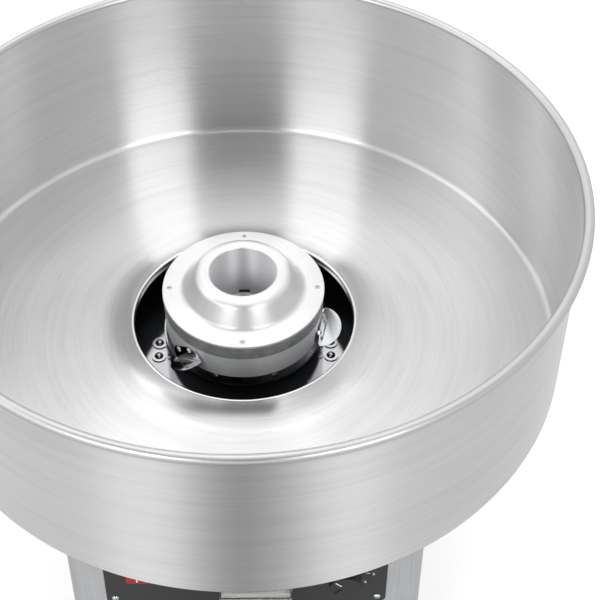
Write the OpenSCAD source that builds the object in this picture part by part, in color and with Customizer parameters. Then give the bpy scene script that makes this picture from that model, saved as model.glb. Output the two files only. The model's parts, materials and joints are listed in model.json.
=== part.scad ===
// Counter-top candy floss machine: a spinning heated head in a deep steel bowl,
// carried on a square sheet-metal base that holds the motor and the controls.
// Millimetres. +Z is up, the front is -Y, and the origin is the centre of the
// footprint, on the surface that the rubber feet stand on.

/* [Bowl] */
// Outside diameter over the rolled rim
bowl_d = 520; // [460:10:600]
// Diameter of the rolled bead along the rim
bead_d = 8; // [6:0.5:10]
// Height from the floor's outer corner to the centre of the bead
bowl_depth = 156; // [120:2:200]
// Thickness of the bowl's sheet
bowl_t = 1; // [0.8:0.1:1.4]
// Inside radius of the corner between wall and floor
bowl_corner_r = 5; // [3:0.5:10]
// Gap between the head's flange and the bowl's opening, which the vanes turn in
opening_gap = 24; // [21:1:31]
// Height of the opening's lip above the floor's outer corner
lip_rise = 19; // [15:0.5:24]
// Depth of the collar turned down inside the opening
lip_skirt = 4; // [2:0.5:8]
// Height of the bowl's floor above the deck
bowl_lift = 25; // [20:0.5:32]

/* [Spinning head] */
// Diameter over the cap's flange
head_d = 128; // [118:1:134]
// Height of the head's side, from its underside to the top of the flange
head_side_h = 37; // [30:1:42]
// Height of the turned band below the flange
band_h = 12; // [9:0.5:15]
// Diameter of the mouth that the sugar is poured into
hopper_d = 52.2; // [44:0.2:58]
// Height of the cap's dome above its flange
cap_rise = 18; // [14:0.5:24]
// Gap between the head's underside and the deck collar
head_gap = 6.5; // [6:0.5:12]
// Number of air vanes round the head
vane_count = 3; // [3:1:3]
// Radius of each half-round vane
vane_r = 16; // [12:0.5:18]
// Pitch of the vanes
vane_pitch = 30; // [15:1:35]
// Direction of the first vane, anticlockwise from the right
vane_turn = -12.2; // [-30:0.1:30]
// Gap between the heating element and the side of the head
element_gap = 10.7; // [7:0.1:16]

/* [Base] */
// Width of the base
base_w = 290; // [280:2:340]
// Depth of the base
base_depth = 290; // [280:2:340]
// Height of the base, from its underside to the top of the deck
base_h = 290; // [270:5:330]
// Thickness of the base's sheet steel
sheet_t = 1.2; // [1:0.1:1.6]
// Radius of the base's upright corners
base_corner_r = 8; // [5:0.5:12]
// Height of the rubber feet
foot_h = 18; // [12:1:28]
// Diameter of the rubber feet at the top
foot_d = 38; // [30:1:44]
// Height of the collar that stands on the deck
collar_h = 30; // [26:0.5:33]
// Step from the head's side out to that collar's
collar_step = 0.5; // [0:0.5:2.5]
// Distance from the deck's edge in to the drum that the bowl stands on
seat_inset = 10; // [7:1:13]

/* [Drive] */
// Diameter of the motor's case
motor_d = 96; // [90:1:110]
// Height of the stator between the end bells
stator_h = 50; // [40:1:60]
// Diameter of the spindle
shaft_d = 12; // [10:0.5:13]
// Diameter of the slip rings
slip_ring_d = 32; // [28:1:36]

/* [Controls] */
// Width of the control panel
panel_w = 230; // [216:2:240]
// Height of the control panel
panel_h = 92; // [84:1:110]
// Diameter of the heat knob
knob_d = 32; // [26:1:38]
// Angle through which a rocker tips
rocker_throw = 16; // [10:1:18]
// Bore of the mains cord's gland
gland_bore_d = 8; // [6:0.5:9]

/* [Hidden] */
$fn = 96;
eps = 0.01;
// Lap of one round stretch over the next, so that they make one solid
lap_deg = 2;
// Running clearance round a turning shaft, as a radius
run_gap = 0.05;
// Gap between pieces that are pressed or screwed together, as a radius
seat_gap = 0.02;
// Free space between pieces of different bodies that rest on each other
rest_gap = 0.3;

// Levels, from the feet upwards
z_base = foot_h;
z_deck = foot_h + base_h;
z_floor = z_deck + bowl_lift;
z_rim = z_floor + bowl_depth;
z_lip = z_floor + lip_rise;
z_collar_top = z_deck + collar_h;
z_head = z_collar_top + head_gap;
z_flange = z_head + head_side_h;
z_mouth = z_flange + cap_rise;

// Bowl
bead_r = bead_d / 2;
wall_r = bowl_d / 2 - bead_d;
hole_r = head_d / 2 + opening_gap;
floor_r = wall_r - bowl_corner_r;
hump_r = hole_r + 40;
cone_rise = 5;
hump_rise = lip_rise - cone_rise;
lip_bend_r = 1.6;
floor_steps = 24;

// Height of the floor's upper face at radius r: a shallow cone, with a hump
// that steepens towards the opening
function hump(r) = r < hump_r ? pow((hump_r - r) / (hump_r - hole_r), 3) : 0;
function hump_slope(r) = r < hump_r
    ? 3 * hump_rise * pow((hump_r - r) / (hump_r - hole_r), 2) / (hump_r - hole_r) : 0;
function floor_z(r) = z_floor + cone_rise * (floor_r - r) / (floor_r - hole_r) + hump_rise * hump(r);
function floor_under_z(r) = floor_z(r) - bowl_t * sqrt(1 + pow(hump_slope(r) + 0.03, 2));
// Where the floor meets the bend of the lip, and the direction it faces there
lip_turn = atan2(1, hump_slope(hole_r) + 0.03);
lip_start_r = hole_r + lip_bend_r * (1 + cos(lip_turn));
// Radii of the floor's profile, closer together towards the opening
floor_radii = [for (i = [0:floor_steps])
    let (k = i / floor_steps) lip_start_r + (floor_r - lip_start_r) * pow(k, 2)];

// Drum and gasket that carry the bowl
gasket_t = 3;
gasket_w = 8;
seat_r = min(base_w, base_depth) / 2 - seat_inset;
seat_flange = 12;
seat_foot = 7;
gasket_outer_r = seat_r - 1;
z_gasket_top = floor_under_z(gasket_outer_r) - rest_gap;
z_seat_top = z_gasket_top - gasket_t;
ring_gap = 0.8;
ring_t = 1.2;
ring_drop = 10;
ring_flange = 8;

// Head
head_r = head_d / 2;
flange_t = 2.2;
band_r = head_r - 0.7;
band_t = 3;
z_band_top = z_flange - flange_t;
z_dish_top = z_band_top - band_h - 0.4;
dish_r = head_r - 0.9;
dish_foot_r = dish_r - 0.5;
dish_bend_r = 1.5;
dish_t = 2.2;
dish_floor_t = 3;
hopper_r = hopper_d / 2;
mouth_round = 1.5;
tube_t = 2;
tube_r = hopper_r + tube_t;
tube_gap = 0.3;
z_tube = z_head + 3 + tube_gap;
feed_w = 9;
feed_h = 5;
top_bend_r = 8;
foot_bend_r = 6;
dome_top_r = hopper_r + 6;
cap_screw_head_r = 2.4;
cap_screw_inset = 5.5;
// The dome's side leans less where a small head leaves it less room
dome_room = head_r - dome_top_r - 3 * cap_screw_head_r;
dome_run = min(18.8, dome_room);
dome_rest = cap_rise - top_bend_r - foot_bend_r;
dome_slope = atan2(dome_rest, dome_run)
    + asin((top_bend_r + foot_bend_r) / sqrt(dome_run * dome_run + dome_rest * dome_rest));
dome_foot_r = dome_top_r + dome_run;
hopper_seat_depth = 22;
hopper_step = 0.4;
hopper_lead = 4;
cap_wall = 3;
cap_screw_circle_r = head_r - min(cap_screw_inset, (head_r - dome_foot_r) / 2);
cap_screw_r = 1.25;
post_r = shaft_d / 2 + 2;
screw_head_r = 11;
screw_head_h = 5;
screw_socket_r = 4.6;
screw_shank_r = 3;
screw_depth = 34;
z_screw_top = z_mouth - screw_depth;
z_post_top = z_screw_top - screw_head_h;
hub_r = shaft_d / 2 + 5.5;
hub_drop = 8;
shaft_r = shaft_d / 2;
z_shaft_top = z_post_top - 6;
spoke_w = 10;

// Vanes
vane_t = 1;
vane_chord_z = z_head + 5.5;
// The flange ends short of the slit between dish and band, at its corner too
vane_top_gap = 1.9;
vane_corner = 7.5;
vane_flange_h = (z_dish_top - vane_top_gap - vane_chord_z - vane_corner * sin(vane_pitch)) / cos(vane_pitch);
rivet_r = 1.5;
rivet_head_r = 2.3;
rivet_spread = 6.5;
rivet_rise = vane_flange_h * 9 / 13;

// Heating element and its leads
element_rod_r = 3.2;
element_r = dish_r - dish_t - element_rod_r - element_gap;
z_element = z_head + 12;
element_gap_deg = 26;
post_count = 3;
lead_r = 1.1;
lead_clear_r = 1.8;
bush_r = 3.4;
z_leads = z_head - 2.6;

// Slip rings
sleeve_r = shaft_r + 5;
ring_r = slip_ring_d / 2;
ring_h = 7;
z_ring_upper = z_head - hub_drop - 11;
z_ring_lower = z_ring_upper - 12;
sleeve_h = 28;
z_sleeve = z_head - hub_drop - sleeve_h;
lead_drop_r = (sleeve_r + ring_r) / 2;

// Deck, collar, bracket
deck_t = sheet_t;
deck_skirt = 16;
collar_r = head_r + collar_step;
collar_t = 1.2;
collar_flange_w = 11;
bracket_t = 3;
washer_r = 5.9;
washer_t = 1;
z_bracket = z_deck - deck_t - collar_t - bracket_t;
bracket_screw_r = collar_r + washer_r + 0.1;
bracket_screw_pitch = 14.5;
bracket_hole_r = 2.2;
bracket_reach = bracket_screw_r + 10;
bracket_w = 42;
bracket_disc_r = motor_d / 2 - 1;
screw_m4_r = 2;
pan_head_r = 3.7;
pan_head_h = 2.6;
nut_t = 3.2;
nut_r = 4;

// Motor
motor_r = motor_d / 2;
bell_h = 26;
bell_wall = 5;
bell_cavity_h = 12;
bearing_r = shaft_r + 8;
bearing_h = 8;
air_gap = 0.6;
rotor_r = 28;
z_motor_top = z_bracket;
z_stator_top = z_motor_top - bell_h;
z_stator = z_stator_top - stator_h;
z_motor = z_stator - bell_h;
z_bearing_top = z_stator_top + bell_cavity_h + bearing_h;
tie_bolt_circle_r = motor_r - 2.8;
motor_screw_circle_r = 34;
fan_h = 11;
fan_r = motor_r - 6;
z_fan = z_motor - 4 - fan_h;
fan_blades = 9;

// Brushes
brush_w = 8;
brush_h = 5;
brush_l = 15;
brush_clear = 0.1;
holder_x = ring_r + 4;
holder_l = 22;
holder_w = 20;
holder_back = 2;
z_holder_top = z_ring_upper + ring_h + 3;

// Base
body_w = base_w - 2 * (sheet_t + 0.3);
body_d = base_depth - 2 * (sheet_t + 0.3);
body_r = base_corner_r - sheet_t;
lip_w = 18;
cover_y = body_d / 2 - sheet_t;
cover_w = body_w - 2 * body_r - 0.6;
cover_screw_x = body_w / 2 - lip_w + 5;
plate_rim = 14;
foot_inset = 32;
vent_rows = 8;
vent_l = 60;
vent_h = 4;
vent_pitch = 12;
vent_z = z_base + 60;
foot_x = base_w / 2 - foot_inset;
foot_y = base_depth / 2 - foot_inset;
foot_hole_r = 2.7;
foot_recess_r = 7;
foot_recess_h = 8;
screw_m5_r = 2.5;

// Control panel, in its own plane: x to the right, y up, z out of the front
panel_t = 2;
panel_r = 6;
panel_drop = 43;
panel_z = z_deck - deck_skirt - panel_drop - panel_h / 2;
window_margin = 14;
front_y = -body_d / 2;
power_x = -88;
heat_x = -52;
meter_x = 8;
knob_x = 80;
switch_case_w = 21.6;
switch_case_h = 29;
switch_depth = 24;
bezel_w = 26;
bezel_h = 34;
bezel_t = 2;
well_w = 18.6;
well_h = 26;
rocker_gap = 0.35;
rocker_pivot = -2.5;
rocker_pin_r = 1.5;
meter_w = 64;
meter_h = 56;
meter_t = 11;
meter_body_r = 24;
meter_body_l = 30;
meter_wall = 2;
meter_view_h = 36;
meter_pivot_y = -14;
needle_l = 26;
needle_sweep = 90;
needle_hub_r = 3.2;
needle_pin_r = 1;
knob_h = 15;
knob_stem_r = 3;
bush_thread_r = 4.7;
regulator_w = 32;
regulator_l = 20;
panel_screw_r = 1.5;
panel_screw_head_r = 2.9;

// Mains cord gland, in the rear cover
gland_x = 75;
gland_z = z_base + 45;
gland_r = 8;
gland_flange_r = 12;
gland_out = 14;
gland_in = 12;

// ---- Shapes that repeat -------------------------------------------------

// Rectangle with round corners, centred
module rounded_rect(w, h, r) {
    square([w - 2 * r, h], center = true);
    square([w, h - 2 * r], center = true);
    for (x = [-1, 1], y = [-1, 1])
        translate([x * (w / 2 - r), y * (h / 2 - r)]) circle(r);
}

// Walls of a rectangular sheet-metal tube
module sheet_walls(w, d, r, t, h) {
    linear_extrude(h) difference() {
        rounded_rect(w, d, r);
        rounded_rect(w - 2 * t, d - 2 * t, r - t);
    }
}

// Flat ring between two radii
module ring(outer, inner, h) {
    difference() {
        cylinder(r = outer, h = h);
        translate([0, 0, -1]) cylinder(r = inner, h = h + 2);
    }
}

// Pan-head screw pointing down, with a cross recess; z = 0 is under the head
module pan_screw(shank_r, length, head_r, head_h) {
    difference() {
        union() {
            translate([0, 0, -length]) cylinder(r = shank_r, h = length);
            intersection() {
                translate([0, 0, head_h - dome_r(head_r, head_h)]) sphere(dome_r(head_r, head_h));
                cylinder(r = head_r, h = head_h);
            }
        }
        for (a = [0, 90]) rotate(a)
            translate([-head_r * 0.55, -head_r * 0.11, head_h * 0.5])
                cube([head_r * 1.1, head_r * 0.22, head_h]);
    }
}
// Radius of the sphere whose cap is a dome of that radius and height
function dome_r(r, h) = (r * r + h * h) / (2 * h);

// Places children at the four corners of a rectangle, centred
module at_corners(x, y) {
    for (sx = [-1, 1], sy = [-1, 1]) translate([sx * x, sy * y, 0]) children();
}

// Places children in the control panel's plane
module on_panel(x, y = 0) {
    translate([x, front_y - panel_t, panel_z + y]) rotate([90, 0, 0]) children();
}

// Rows of cooling slots, in the XZ plane, cut through the wall at y = 0
module vent_slots(columns) {
    for (row = [0:vent_rows - 1], column = columns)
        translate([column, 0, row * vent_pitch]) rotate([90, 0, 0])
            translate([0, 0, -10]) linear_extrude(20) rounded_rect(vent_l, vent_h, vent_h / 2 - eps);
}

// Stretch of a ring's section between two angles
module arc_strip(outer, inner, from, to) {
    intersection() {
        difference() {
            circle(outer);
            circle(inner);
        }
        polygon(concat([[0, 0]], [for (a = [from:(to - from) / 8:to])
            2 * outer * [cos(a), sin(a)]]));
    }
}

// ---- Bowl ---------------------------------------------------------------

module bowl() {
    lip_x = hole_r + lip_bend_r;
    lip_z = floor_z(lip_start_r) - lip_bend_r * sin(lip_turn);
    color("#C9CBCC") {
        rotate_extrude() {
            // rolled bead, whose edge stops short of the wall
            translate([wall_r + bead_r, z_rim]) arc_strip(bead_r, bead_r - bowl_t, -125, 180 + lap_deg);
            // wall
            translate([wall_r, z_floor + bowl_corner_r]) square([bowl_t, bowl_depth - bowl_corner_r]);
            // corner
            translate([floor_r, z_floor + bowl_corner_r])
                arc_strip(bowl_corner_r + bowl_t, bowl_corner_r, -90 - lap_deg, lap_deg);
        }
        // floor
        rotate_extrude() polygon(concat(
            [for (r = floor_radii) [r, floor_z(r)]],
            [for (i = [floor_steps:-1:0]) [floor_radii[i], floor_under_z(floor_radii[i])]]));
        // lip, turned down into the opening
        rotate_extrude() {
            translate([lip_x, lip_z])
                arc_strip(lip_bend_r, lip_bend_r - bowl_t, lip_turn - 4 * lap_deg, 180 + lap_deg);
            translate([hole_r, lip_z - lip_skirt]) square([bowl_t, lip_skirt]);
        }
    }
}

// Ring welded under the bowl's floor, which drops over the drum
module bowl_locating_ring() {
    color("#B9BBBC") rotate_extrude() {
        inner = seat_r + ring_gap;
        top = floor_under_z(inner) - seat_gap;
        outer_top = floor_under_z(inner + ring_flange) - seat_gap;
        // a downward wall with a flange that follows the floor
        polygon([
            [inner, top], [inner, top - ring_drop],
            [inner + ring_t, top - ring_drop], [inner + ring_t, top - ring_t],
            [inner + ring_flange, outer_top - ring_t], [inner + ring_flange, outer_top]
        ]);
    }
}

module bowl_seat_drum() {
    color("#B4B6B8") rotate_extrude() {
        translate([seat_r - sheet_t, z_deck]) square([sheet_t, z_seat_top - z_deck]);
        translate([seat_r - seat_flange, z_seat_top - sheet_t]) square([seat_flange, sheet_t]);
        translate([seat_r - seat_foot, z_deck]) square([seat_foot, sheet_t]);
    }
}

module bowl_gasket() {
    color("#1B1B1C") rotate_extrude()
        translate([gasket_outer_r - gasket_w, z_seat_top]) square([gasket_w, gasket_t]);
}

// ---- Spinning head ------------------------------------------------------

module head_cap() {
    color("#E2E3E4") difference() {
        rotate_extrude() {
            difference() {
                union() {
                    // flange, then the dome's side between its two bends
                    polygon([
                        [tube_r, z_band_top], [head_r, z_band_top], [head_r, z_flange - 0.4],
                        [head_r - 0.4, z_flange], [dome_foot_r, z_flange],
                        [dome_foot_r, z_flange + foot_bend_r],
                        [dome_foot_r - foot_bend_r * sin(dome_slope), z_flange + foot_bend_r * (1 - cos(dome_slope))],
                        [dome_top_r + top_bend_r * sin(dome_slope), z_mouth - top_bend_r * (1 - cos(dome_slope))],
                        [dome_top_r, z_mouth - top_bend_r], [dome_top_r, z_mouth],
                        [hopper_r + mouth_round, z_mouth], [hopper_r + mouth_round, z_band_top]
                    ]);
                    translate([dome_top_r, z_mouth - top_bend_r]) arc_strip(top_bend_r, 0.5, 0, 90 + lap_deg);
                }
                translate([dome_foot_r, z_flange + foot_bend_r]) circle(foot_bend_r);
                // hollow under the dome
                polygon([
                    [tube_r, z_band_top - 1], [dome_foot_r - cap_wall, z_band_top - 1],
                    [dome_top_r + 1.5, z_mouth - cap_wall - 4], [tube_r, z_mouth - cap_wall - 4]
                ]);
            }
            // rounded edge of the mouth
            translate([hopper_r + mouth_round, z_mouth - mouth_round])
                arc_strip(mouth_round, 0.2, 90 - 10, 180 + lap_deg);
            // mouth, then the tube that leads the sugar down
            translate([hopper_r, z_mouth - hopper_seat_depth])
                square([tube_t, hopper_seat_depth - mouth_round]);
            polygon([
                [hopper_r - hopper_step, z_tube], [tube_r, z_tube],
                [tube_r, z_mouth - hopper_seat_depth + eps], [hopper_r, z_mouth - hopper_seat_depth + eps],
                [hopper_r, z_mouth - hopper_seat_depth],
                [hopper_r - hopper_step, z_mouth - hopper_seat_depth - hopper_lead]
            ]);
        }
        // notches at the tube's foot, which let the sugar out to the element
        for (a = [0:90:270]) rotate(a) translate([hopper_r - 2, -feed_w / 2, z_tube - 1])
            cube([tube_t + 4, feed_w, feed_h + 1]);
        for (a = [0:90:270]) rotate(a) translate([cap_screw_circle_r, 0, 0]) {
            translate([0, 0, z_band_top - 1]) cylinder(r = cap_screw_r + seat_gap, h = 10);
            translate([0, 0, z_flange - 1.2])
                cylinder(r1 = cap_screw_r + seat_gap, r2 = cap_screw_head_r + 0.1, h = 1.2 + eps);
        }
    }
}

module cap_screws() {
    color("#9C9EA0") for (a = [0:90:270]) rotate(a) translate([cap_screw_circle_r, 0, 0])
        difference() {
            union() {
                translate([0, 0, z_flange - 9]) cylinder(r = cap_screw_r, h = 8);
                translate([0, 0, z_flange - 1.2])
                    cylinder(r1 = cap_screw_r, r2 = cap_screw_head_r, h = 1.15);
            }
            for (b = [0, 90]) rotate(b) translate([-1.3, -0.3, z_flange - 0.8]) cube([2.6, 0.6, 2]);
        }
}

// Turned band: the upper half of the head's side
module head_band() {
    color("#8F9193") difference() {
        union() {
            translate([0, 0, z_dish_top + 0.4]) ring(band_r, band_r - band_t, band_h);
            for (a = [0:90:270]) rotate(a)
                translate([cap_screw_circle_r, 0, z_dish_top + 0.4]) intersection() {
                    cylinder(r = 4, h = band_h);
                    translate([-4, -4, 0]) cube([4 + band_t, 8, band_h]);
                }
        }
        for (a = [0:90:270]) rotate(a) translate([cap_screw_circle_r, 0, z_flange - 9.2])
            cylinder(r = cap_screw_r + seat_gap, h = 20);
    }
}

// Lower half of the head: dish, hub and the post that the head's screw clamps
module head_dish() {
    color("#A9ABAD") difference() {
        union() {
            rotate_extrude() polygon(concat(
                [[shaft_r + seat_gap, z_head]],
                [for (a = [-90:15:0]) dish_corner(a)],
                [[dish_r, z_dish_top], [dish_r - dish_t, z_dish_top],
                 [dish_foot_r - dish_t - 0.5, z_head + dish_floor_t],
                 [shaft_r + seat_gap, z_head + dish_floor_t]]));
            // hub and post
            translate([0, 0, z_head - hub_drop]) cylinder(r = hub_r, h = hub_drop + eps);
            translate([0, 0, z_head]) cylinder(r = post_r, h = z_post_top - z_head);
            // tongues that space the dish from the band
            for (a = [0:15:345]) rotate(a)
                translate([dish_r - dish_t, -0.6, z_dish_top - eps]) cube([dish_t - 0.1, 1.2, 0.4 + eps]);
        }
        translate([0, 0, z_head - hub_drop - 1]) cylinder(r = shaft_r + seat_gap, h = z_shaft_top - z_head + hub_drop + 1 + seat_gap);
        translate([0, 0, z_shaft_top - 1]) cylinder(r = screw_shank_r + seat_gap, h = 20);
        // holes for the element's two bushes
        for (a = [0, element_gap_deg]) rotate(90 + a) translate([element_r, 0, z_head - 1])
            cylinder(r = bush_r + seat_gap, h = dish_floor_t + 2);
        // rivet holes
        for (i = [0:vane_count - 1]) vane_frame(i) for (x = [-1, 1])
            translate([x * rivet_spread, 1, rivet_rise]) rotate([90, 0, 0]) cylinder(r = rivet_r + seat_gap, h = 8);
    }
}

// Point of the round corner under the dish
function dish_corner(a) = [
    dish_foot_r + dish_bend_r * (cos(a) - 1),
    z_head + dish_bend_r * (1 + sin(a))
];

module head_screw() {
    color("#C4C6C8") difference() {
        union() {
            translate([0, 0, z_post_top]) cylinder(r = screw_head_r, h = screw_head_h - 0.8);
            translate([0, 0, z_screw_top - 0.8 - eps]) cylinder(r1 = screw_head_r, r2 = screw_head_r - 0.8, h = 0.8 + eps);
            translate([0, 0, z_shaft_top - 10]) cylinder(r = screw_shank_r, h = z_post_top - z_shaft_top + 10);
        }
        translate([0, 0, z_post_top + 1.5]) cylinder(r = screw_socket_r, h = 10, $fn = 6);
    }
}

// Frame of one vane: origin at the middle of its chord on the head's side,
// x along the pitched chord, y outwards
module vane_frame(i) {
    rotate(vane_turn - 90 + i * 360 / vane_count)
        translate([0, dish_r + 0.05, vane_chord_z]) rotate([0, vane_pitch, 0]) children();
}

module vane(i) {
    color("#D9DADB") vane_frame(i) difference() {
        union() {
            // half-round blade
            translate([0, 0, -vane_t]) intersection() {
                cylinder(r = vane_r, h = vane_t);
                translate([-vane_r, 0, -1]) cube([2 * vane_r, vane_r, vane_t + 2]);
            }
            // flange riveted to the head
            rotate([90, 0, 0]) translate([0, 0, -vane_t]) linear_extrude(vane_t) intersection() {
                translate([-vane_r, -vane_t]) square([2 * vane_r, vane_flange_h]);
                circle(vane_r - 1);
            }
        }
        for (x = [-1, 1]) translate([x * rivet_spread, 5, rivet_rise]) rotate([90, 0, 0])
            cylinder(r = rivet_r + seat_gap, h = 10);
    }
}

module vane_rivets() {
    color("#E4E5E6") for (i = [0:vane_count - 1]) vane_frame(i) for (x = [-1, 1])
        translate([x * rivet_spread, vane_t + seat_gap, rivet_rise]) rotate([90, 0, 0]) {
            cylinder(r = rivet_r, h = vane_t + dish_t + 2.4);
            rotate([180, 0, 0]) intersection() {
                translate([0, 0, 1.4 - dome_r(rivet_head_r, 1.4)]) sphere(dome_r(rivet_head_r, 1.4));
                cylinder(r = rivet_head_r, h = 1.4);
            }
        }
}

// Tubular element: most of a ring, with a terminal block on each end
module heating_element() {
    color("#6E5F55") {
        rotate([0, 0, 90 + element_gap_deg]) translate([0, 0, z_element])
            rotate_extrude(angle = 360 - element_gap_deg) translate([element_r, 0]) circle(element_rod_r);
        for (a = [0, element_gap_deg]) rotate(90 + a)
            translate([element_r, 0, z_head + dish_floor_t + 1.5])
                cylinder(r = element_rod_r + 0.8, h = z_element - z_head - dish_floor_t + element_rod_r - 0.5);
    }
}

// Ceramic posts that carry the element, and the bushes round its ends
module element_posts() {
    color("#EFEBE2") {
        for (i = [0:post_count - 1]) rotate(90 + element_gap_deg / 2 + (i + 0.5) * 360 / post_count)
            translate([element_r, 0, z_head + dish_floor_t])
                cylinder(r = 3.6, h = z_element - z_head - dish_floor_t - element_rod_r - 0.05);
        for (a = [0, element_gap_deg]) rotate(90 + a) translate([element_r, 0, z_head - 1.2])
            difference() {
                union() {
                    cylinder(r = bush_r, h = dish_floor_t + 1.2 + 1.45);
                    cylinder(r = bush_r + 1.6, h = 1.18);
                }
                translate([0, 0, -1]) cylinder(r = lead_r + seat_gap, h = 12);
            }
    }
}

// Wires from the element's ends to the slip rings, one ring each
module heater_leads() {
    color("#B87333") for (i = [0, 1]) rotate(90 + i * element_gap_deg) {
        drop_to = i == 0 ? z_ring_upper + ring_h : z_ring_lower + ring_h;
        translate([element_r, 0, z_leads]) cylinder(r = lead_r, h = z_head + dish_floor_t + 1.45 - z_leads);
        translate([element_r, 0, z_leads]) sphere(lead_r);
        translate([lead_drop_r, 0, z_leads]) rotate([0, 90, 0]) cylinder(r = lead_r, h = element_r - lead_drop_r);
        translate([lead_drop_r, 0, z_leads]) sphere(lead_r);
        translate([lead_drop_r, 0, drop_to]) cylinder(r = lead_r, h = z_leads - drop_to);
    }
}

// ---- Spindle and slip rings --------------------------------------------

module spindle() {
    color("#AEB0B2") difference() {
        union() {
            translate([0, 0, z_fan]) cylinder(r = shaft_r, h = z_shaft_top - z_fan);
            // shoulder between the upper bearing and the slip rings
            translate([0, 0, z_bearing_top + 0.1]) cylinder(r = shaft_r + 2, h = z_sleeve - z_bearing_top - 0.1 - seat_gap);
        }
        translate([0, 0, z_shaft_top - 12]) cylinder(r = screw_shank_r + seat_gap, h = 20);
    }
}

module slip_ring_sleeve() {
    color("#7A3B1E") translate([0, 0, z_sleeve])
        ring(sleeve_r, shaft_r + seat_gap, sleeve_h - seat_gap);
}

module slip_ring(z) {
    color("#C8A04A") difference() {
        translate([0, 0, z]) ring(ring_r, sleeve_r + seat_gap, ring_h);
        // the second lead passes the upper ring without touching it
        if (z == z_ring_upper) rotate(90 + element_gap_deg) translate([lead_drop_r, 0, z - 1])
            cylinder(r = lead_clear_r, h = ring_h + 2);
    }
}

module rotor_core() {
    color("#55585B") difference() {
        union() {
            translate([0, 0, z_stator + 2]) cylinder(r = rotor_r - air_gap, h = stator_h - 4);
            translate([0, 0, z_stator - 4]) cylinder(r = rotor_r - 6, h = stator_h + 8);
        }
        translate([0, 0, z_stator - 5]) cylinder(r = shaft_r + seat_gap, h = stator_h + 10);
    }
}

module cooling_fan() {
    color("#2E3236") difference() {
        union() {
            translate([0, 0, z_fan]) cylinder(r = 14, h = fan_h);
            translate([0, 0, z_fan + fan_h - 2]) cylinder(r = fan_r, h = 2);
            for (i = [0:fan_blades - 1]) rotate(i * 360 / fan_blades)
                translate([12, -1, z_fan]) cube([fan_r - 13, 2, fan_h - 1]);
        }
        translate([0, 0, z_fan - 1]) cylinder(r = shaft_r + seat_gap, h = fan_h + 2);
    }
}

// ---- Deck and base ------------------------------------------------------

module deck() {
    color("#C6C8CA") difference() {
        translate([0, 0, z_deck - deck_skirt]) linear_extrude(deck_skirt)
            rounded_rect(base_w, base_depth, base_corner_r);
        translate([0, 0, z_deck - deck_skirt - 1]) linear_extrude(deck_skirt + 1 - deck_t)
            rounded_rect(base_w - 2 * sheet_t, base_depth - 2 * sheet_t, base_corner_r - sheet_t);
        translate([0, 0, z_deck - 5]) cylinder(r = collar_r + seat_gap, h = 10);
        bracket_holes();
        for (s = [-1, 1]) case_screw_holes(s);
    }
}

// Holes of the four screws that hold the collar and the motor's bracket
module bracket_holes() {
    for (x = [-1, 1], y = [-1, 1])
        translate([x * bracket_screw_r, y * bracket_screw_pitch / 2, z_bracket - 1])
            cylinder(r = bracket_hole_r, h = 20);
}

// Screws along the deck's skirt, on the side s
module case_screw_holes(s) {
    for (y = [-90, 90]) translate([s * base_w / 2, y, z_deck - deck_skirt / 2 - 1]) rotate([0, 90, 0])
        translate([0, 0, -8]) cylinder(r = 1.6, h = 16);
}

module deck_collar() {
    color("#BFC1C3") difference() {
        union() {
            translate([0, 0, z_deck - deck_t - collar_t]) ring(collar_r, collar_r - collar_t, z_collar_top - z_deck + deck_t + collar_t);
            translate([0, 0, z_deck - deck_t - collar_t]) ring(collar_r + collar_flange_w, collar_r - collar_t, collar_t);
        }
        bracket_holes();
    }
}

module housing() {
    color("#C2C4C6") difference() {
        translate([0, 0, z_base]) sheet_walls(body_w, body_d, body_r, sheet_t, base_h - deck_t);
        // the back is open between two lips, for the rear cover
        translate([-body_w / 2 + lip_w, body_d / 2 - 20, z_base - 1]) cube([body_w - 2 * lip_w, 30, base_h + 2]);
        // window behind the control panel
        on_panel(0) translate([0, 0, -20]) linear_extrude(30)
            rounded_rect(panel_w - 2 * window_margin, panel_h - 2 * window_margin, 4);
        panel_screw_holes();
        for (s = [-1, 1]) {
            translate([s * body_w / 2, 0, vent_z]) rotate(90) vent_slots([-40, 40]);
            case_screw_holes(s);
            bottom_screw_holes(s);
            cover_screw_holes(s);
        }
    }
}

module bottom_screw_holes(s) {
    for (y = [-90, 90]) translate([s * base_w / 2, y, z_base + plate_rim / 2]) rotate([0, 90, 0])
        translate([0, 0, -8]) cylinder(r = 1.6, h = 16);
}

module cover_screw_holes(s) {
    for (z = [40, base_h / 2, base_h - 40])
        translate([s * cover_screw_x, body_d / 2, z_base + z]) rotate([90, 0, 0])
            translate([0, 0, -4]) cylinder(r = 1.6, h = 12);
}

module panel_screw_holes() {
    on_panel(0) at_corners(panel_w / 2 - 7, panel_h / 2 - 7) translate([0, 0, -12])
        cylinder(r = panel_screw_r + seat_gap, h = 20);
}

module rear_cover() {
    color("#C2C4C6") difference() {
        union() {
            translate([-cover_w / 2, cover_y - sheet_t, z_base + sheet_t])
                cube([cover_w, sheet_t, base_h - deck_t - sheet_t - 0.5]);
            translate([-cover_w / 2 + 10, cover_y - 14, z_deck - deck_t - 0.5 - sheet_t])
                cube([cover_w - 20, 14, sheet_t]);
        }
        translate([0, cover_y, vent_z + 40]) vent_slots([-70, 0, 70]);
        translate([gland_x, cover_y + 5, gland_z]) rotate([90, 0, 0]) cylinder(r = gland_r + seat_gap, h = 20);
        for (s = [-1, 1]) cover_screw_holes(s);
    }
}

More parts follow.
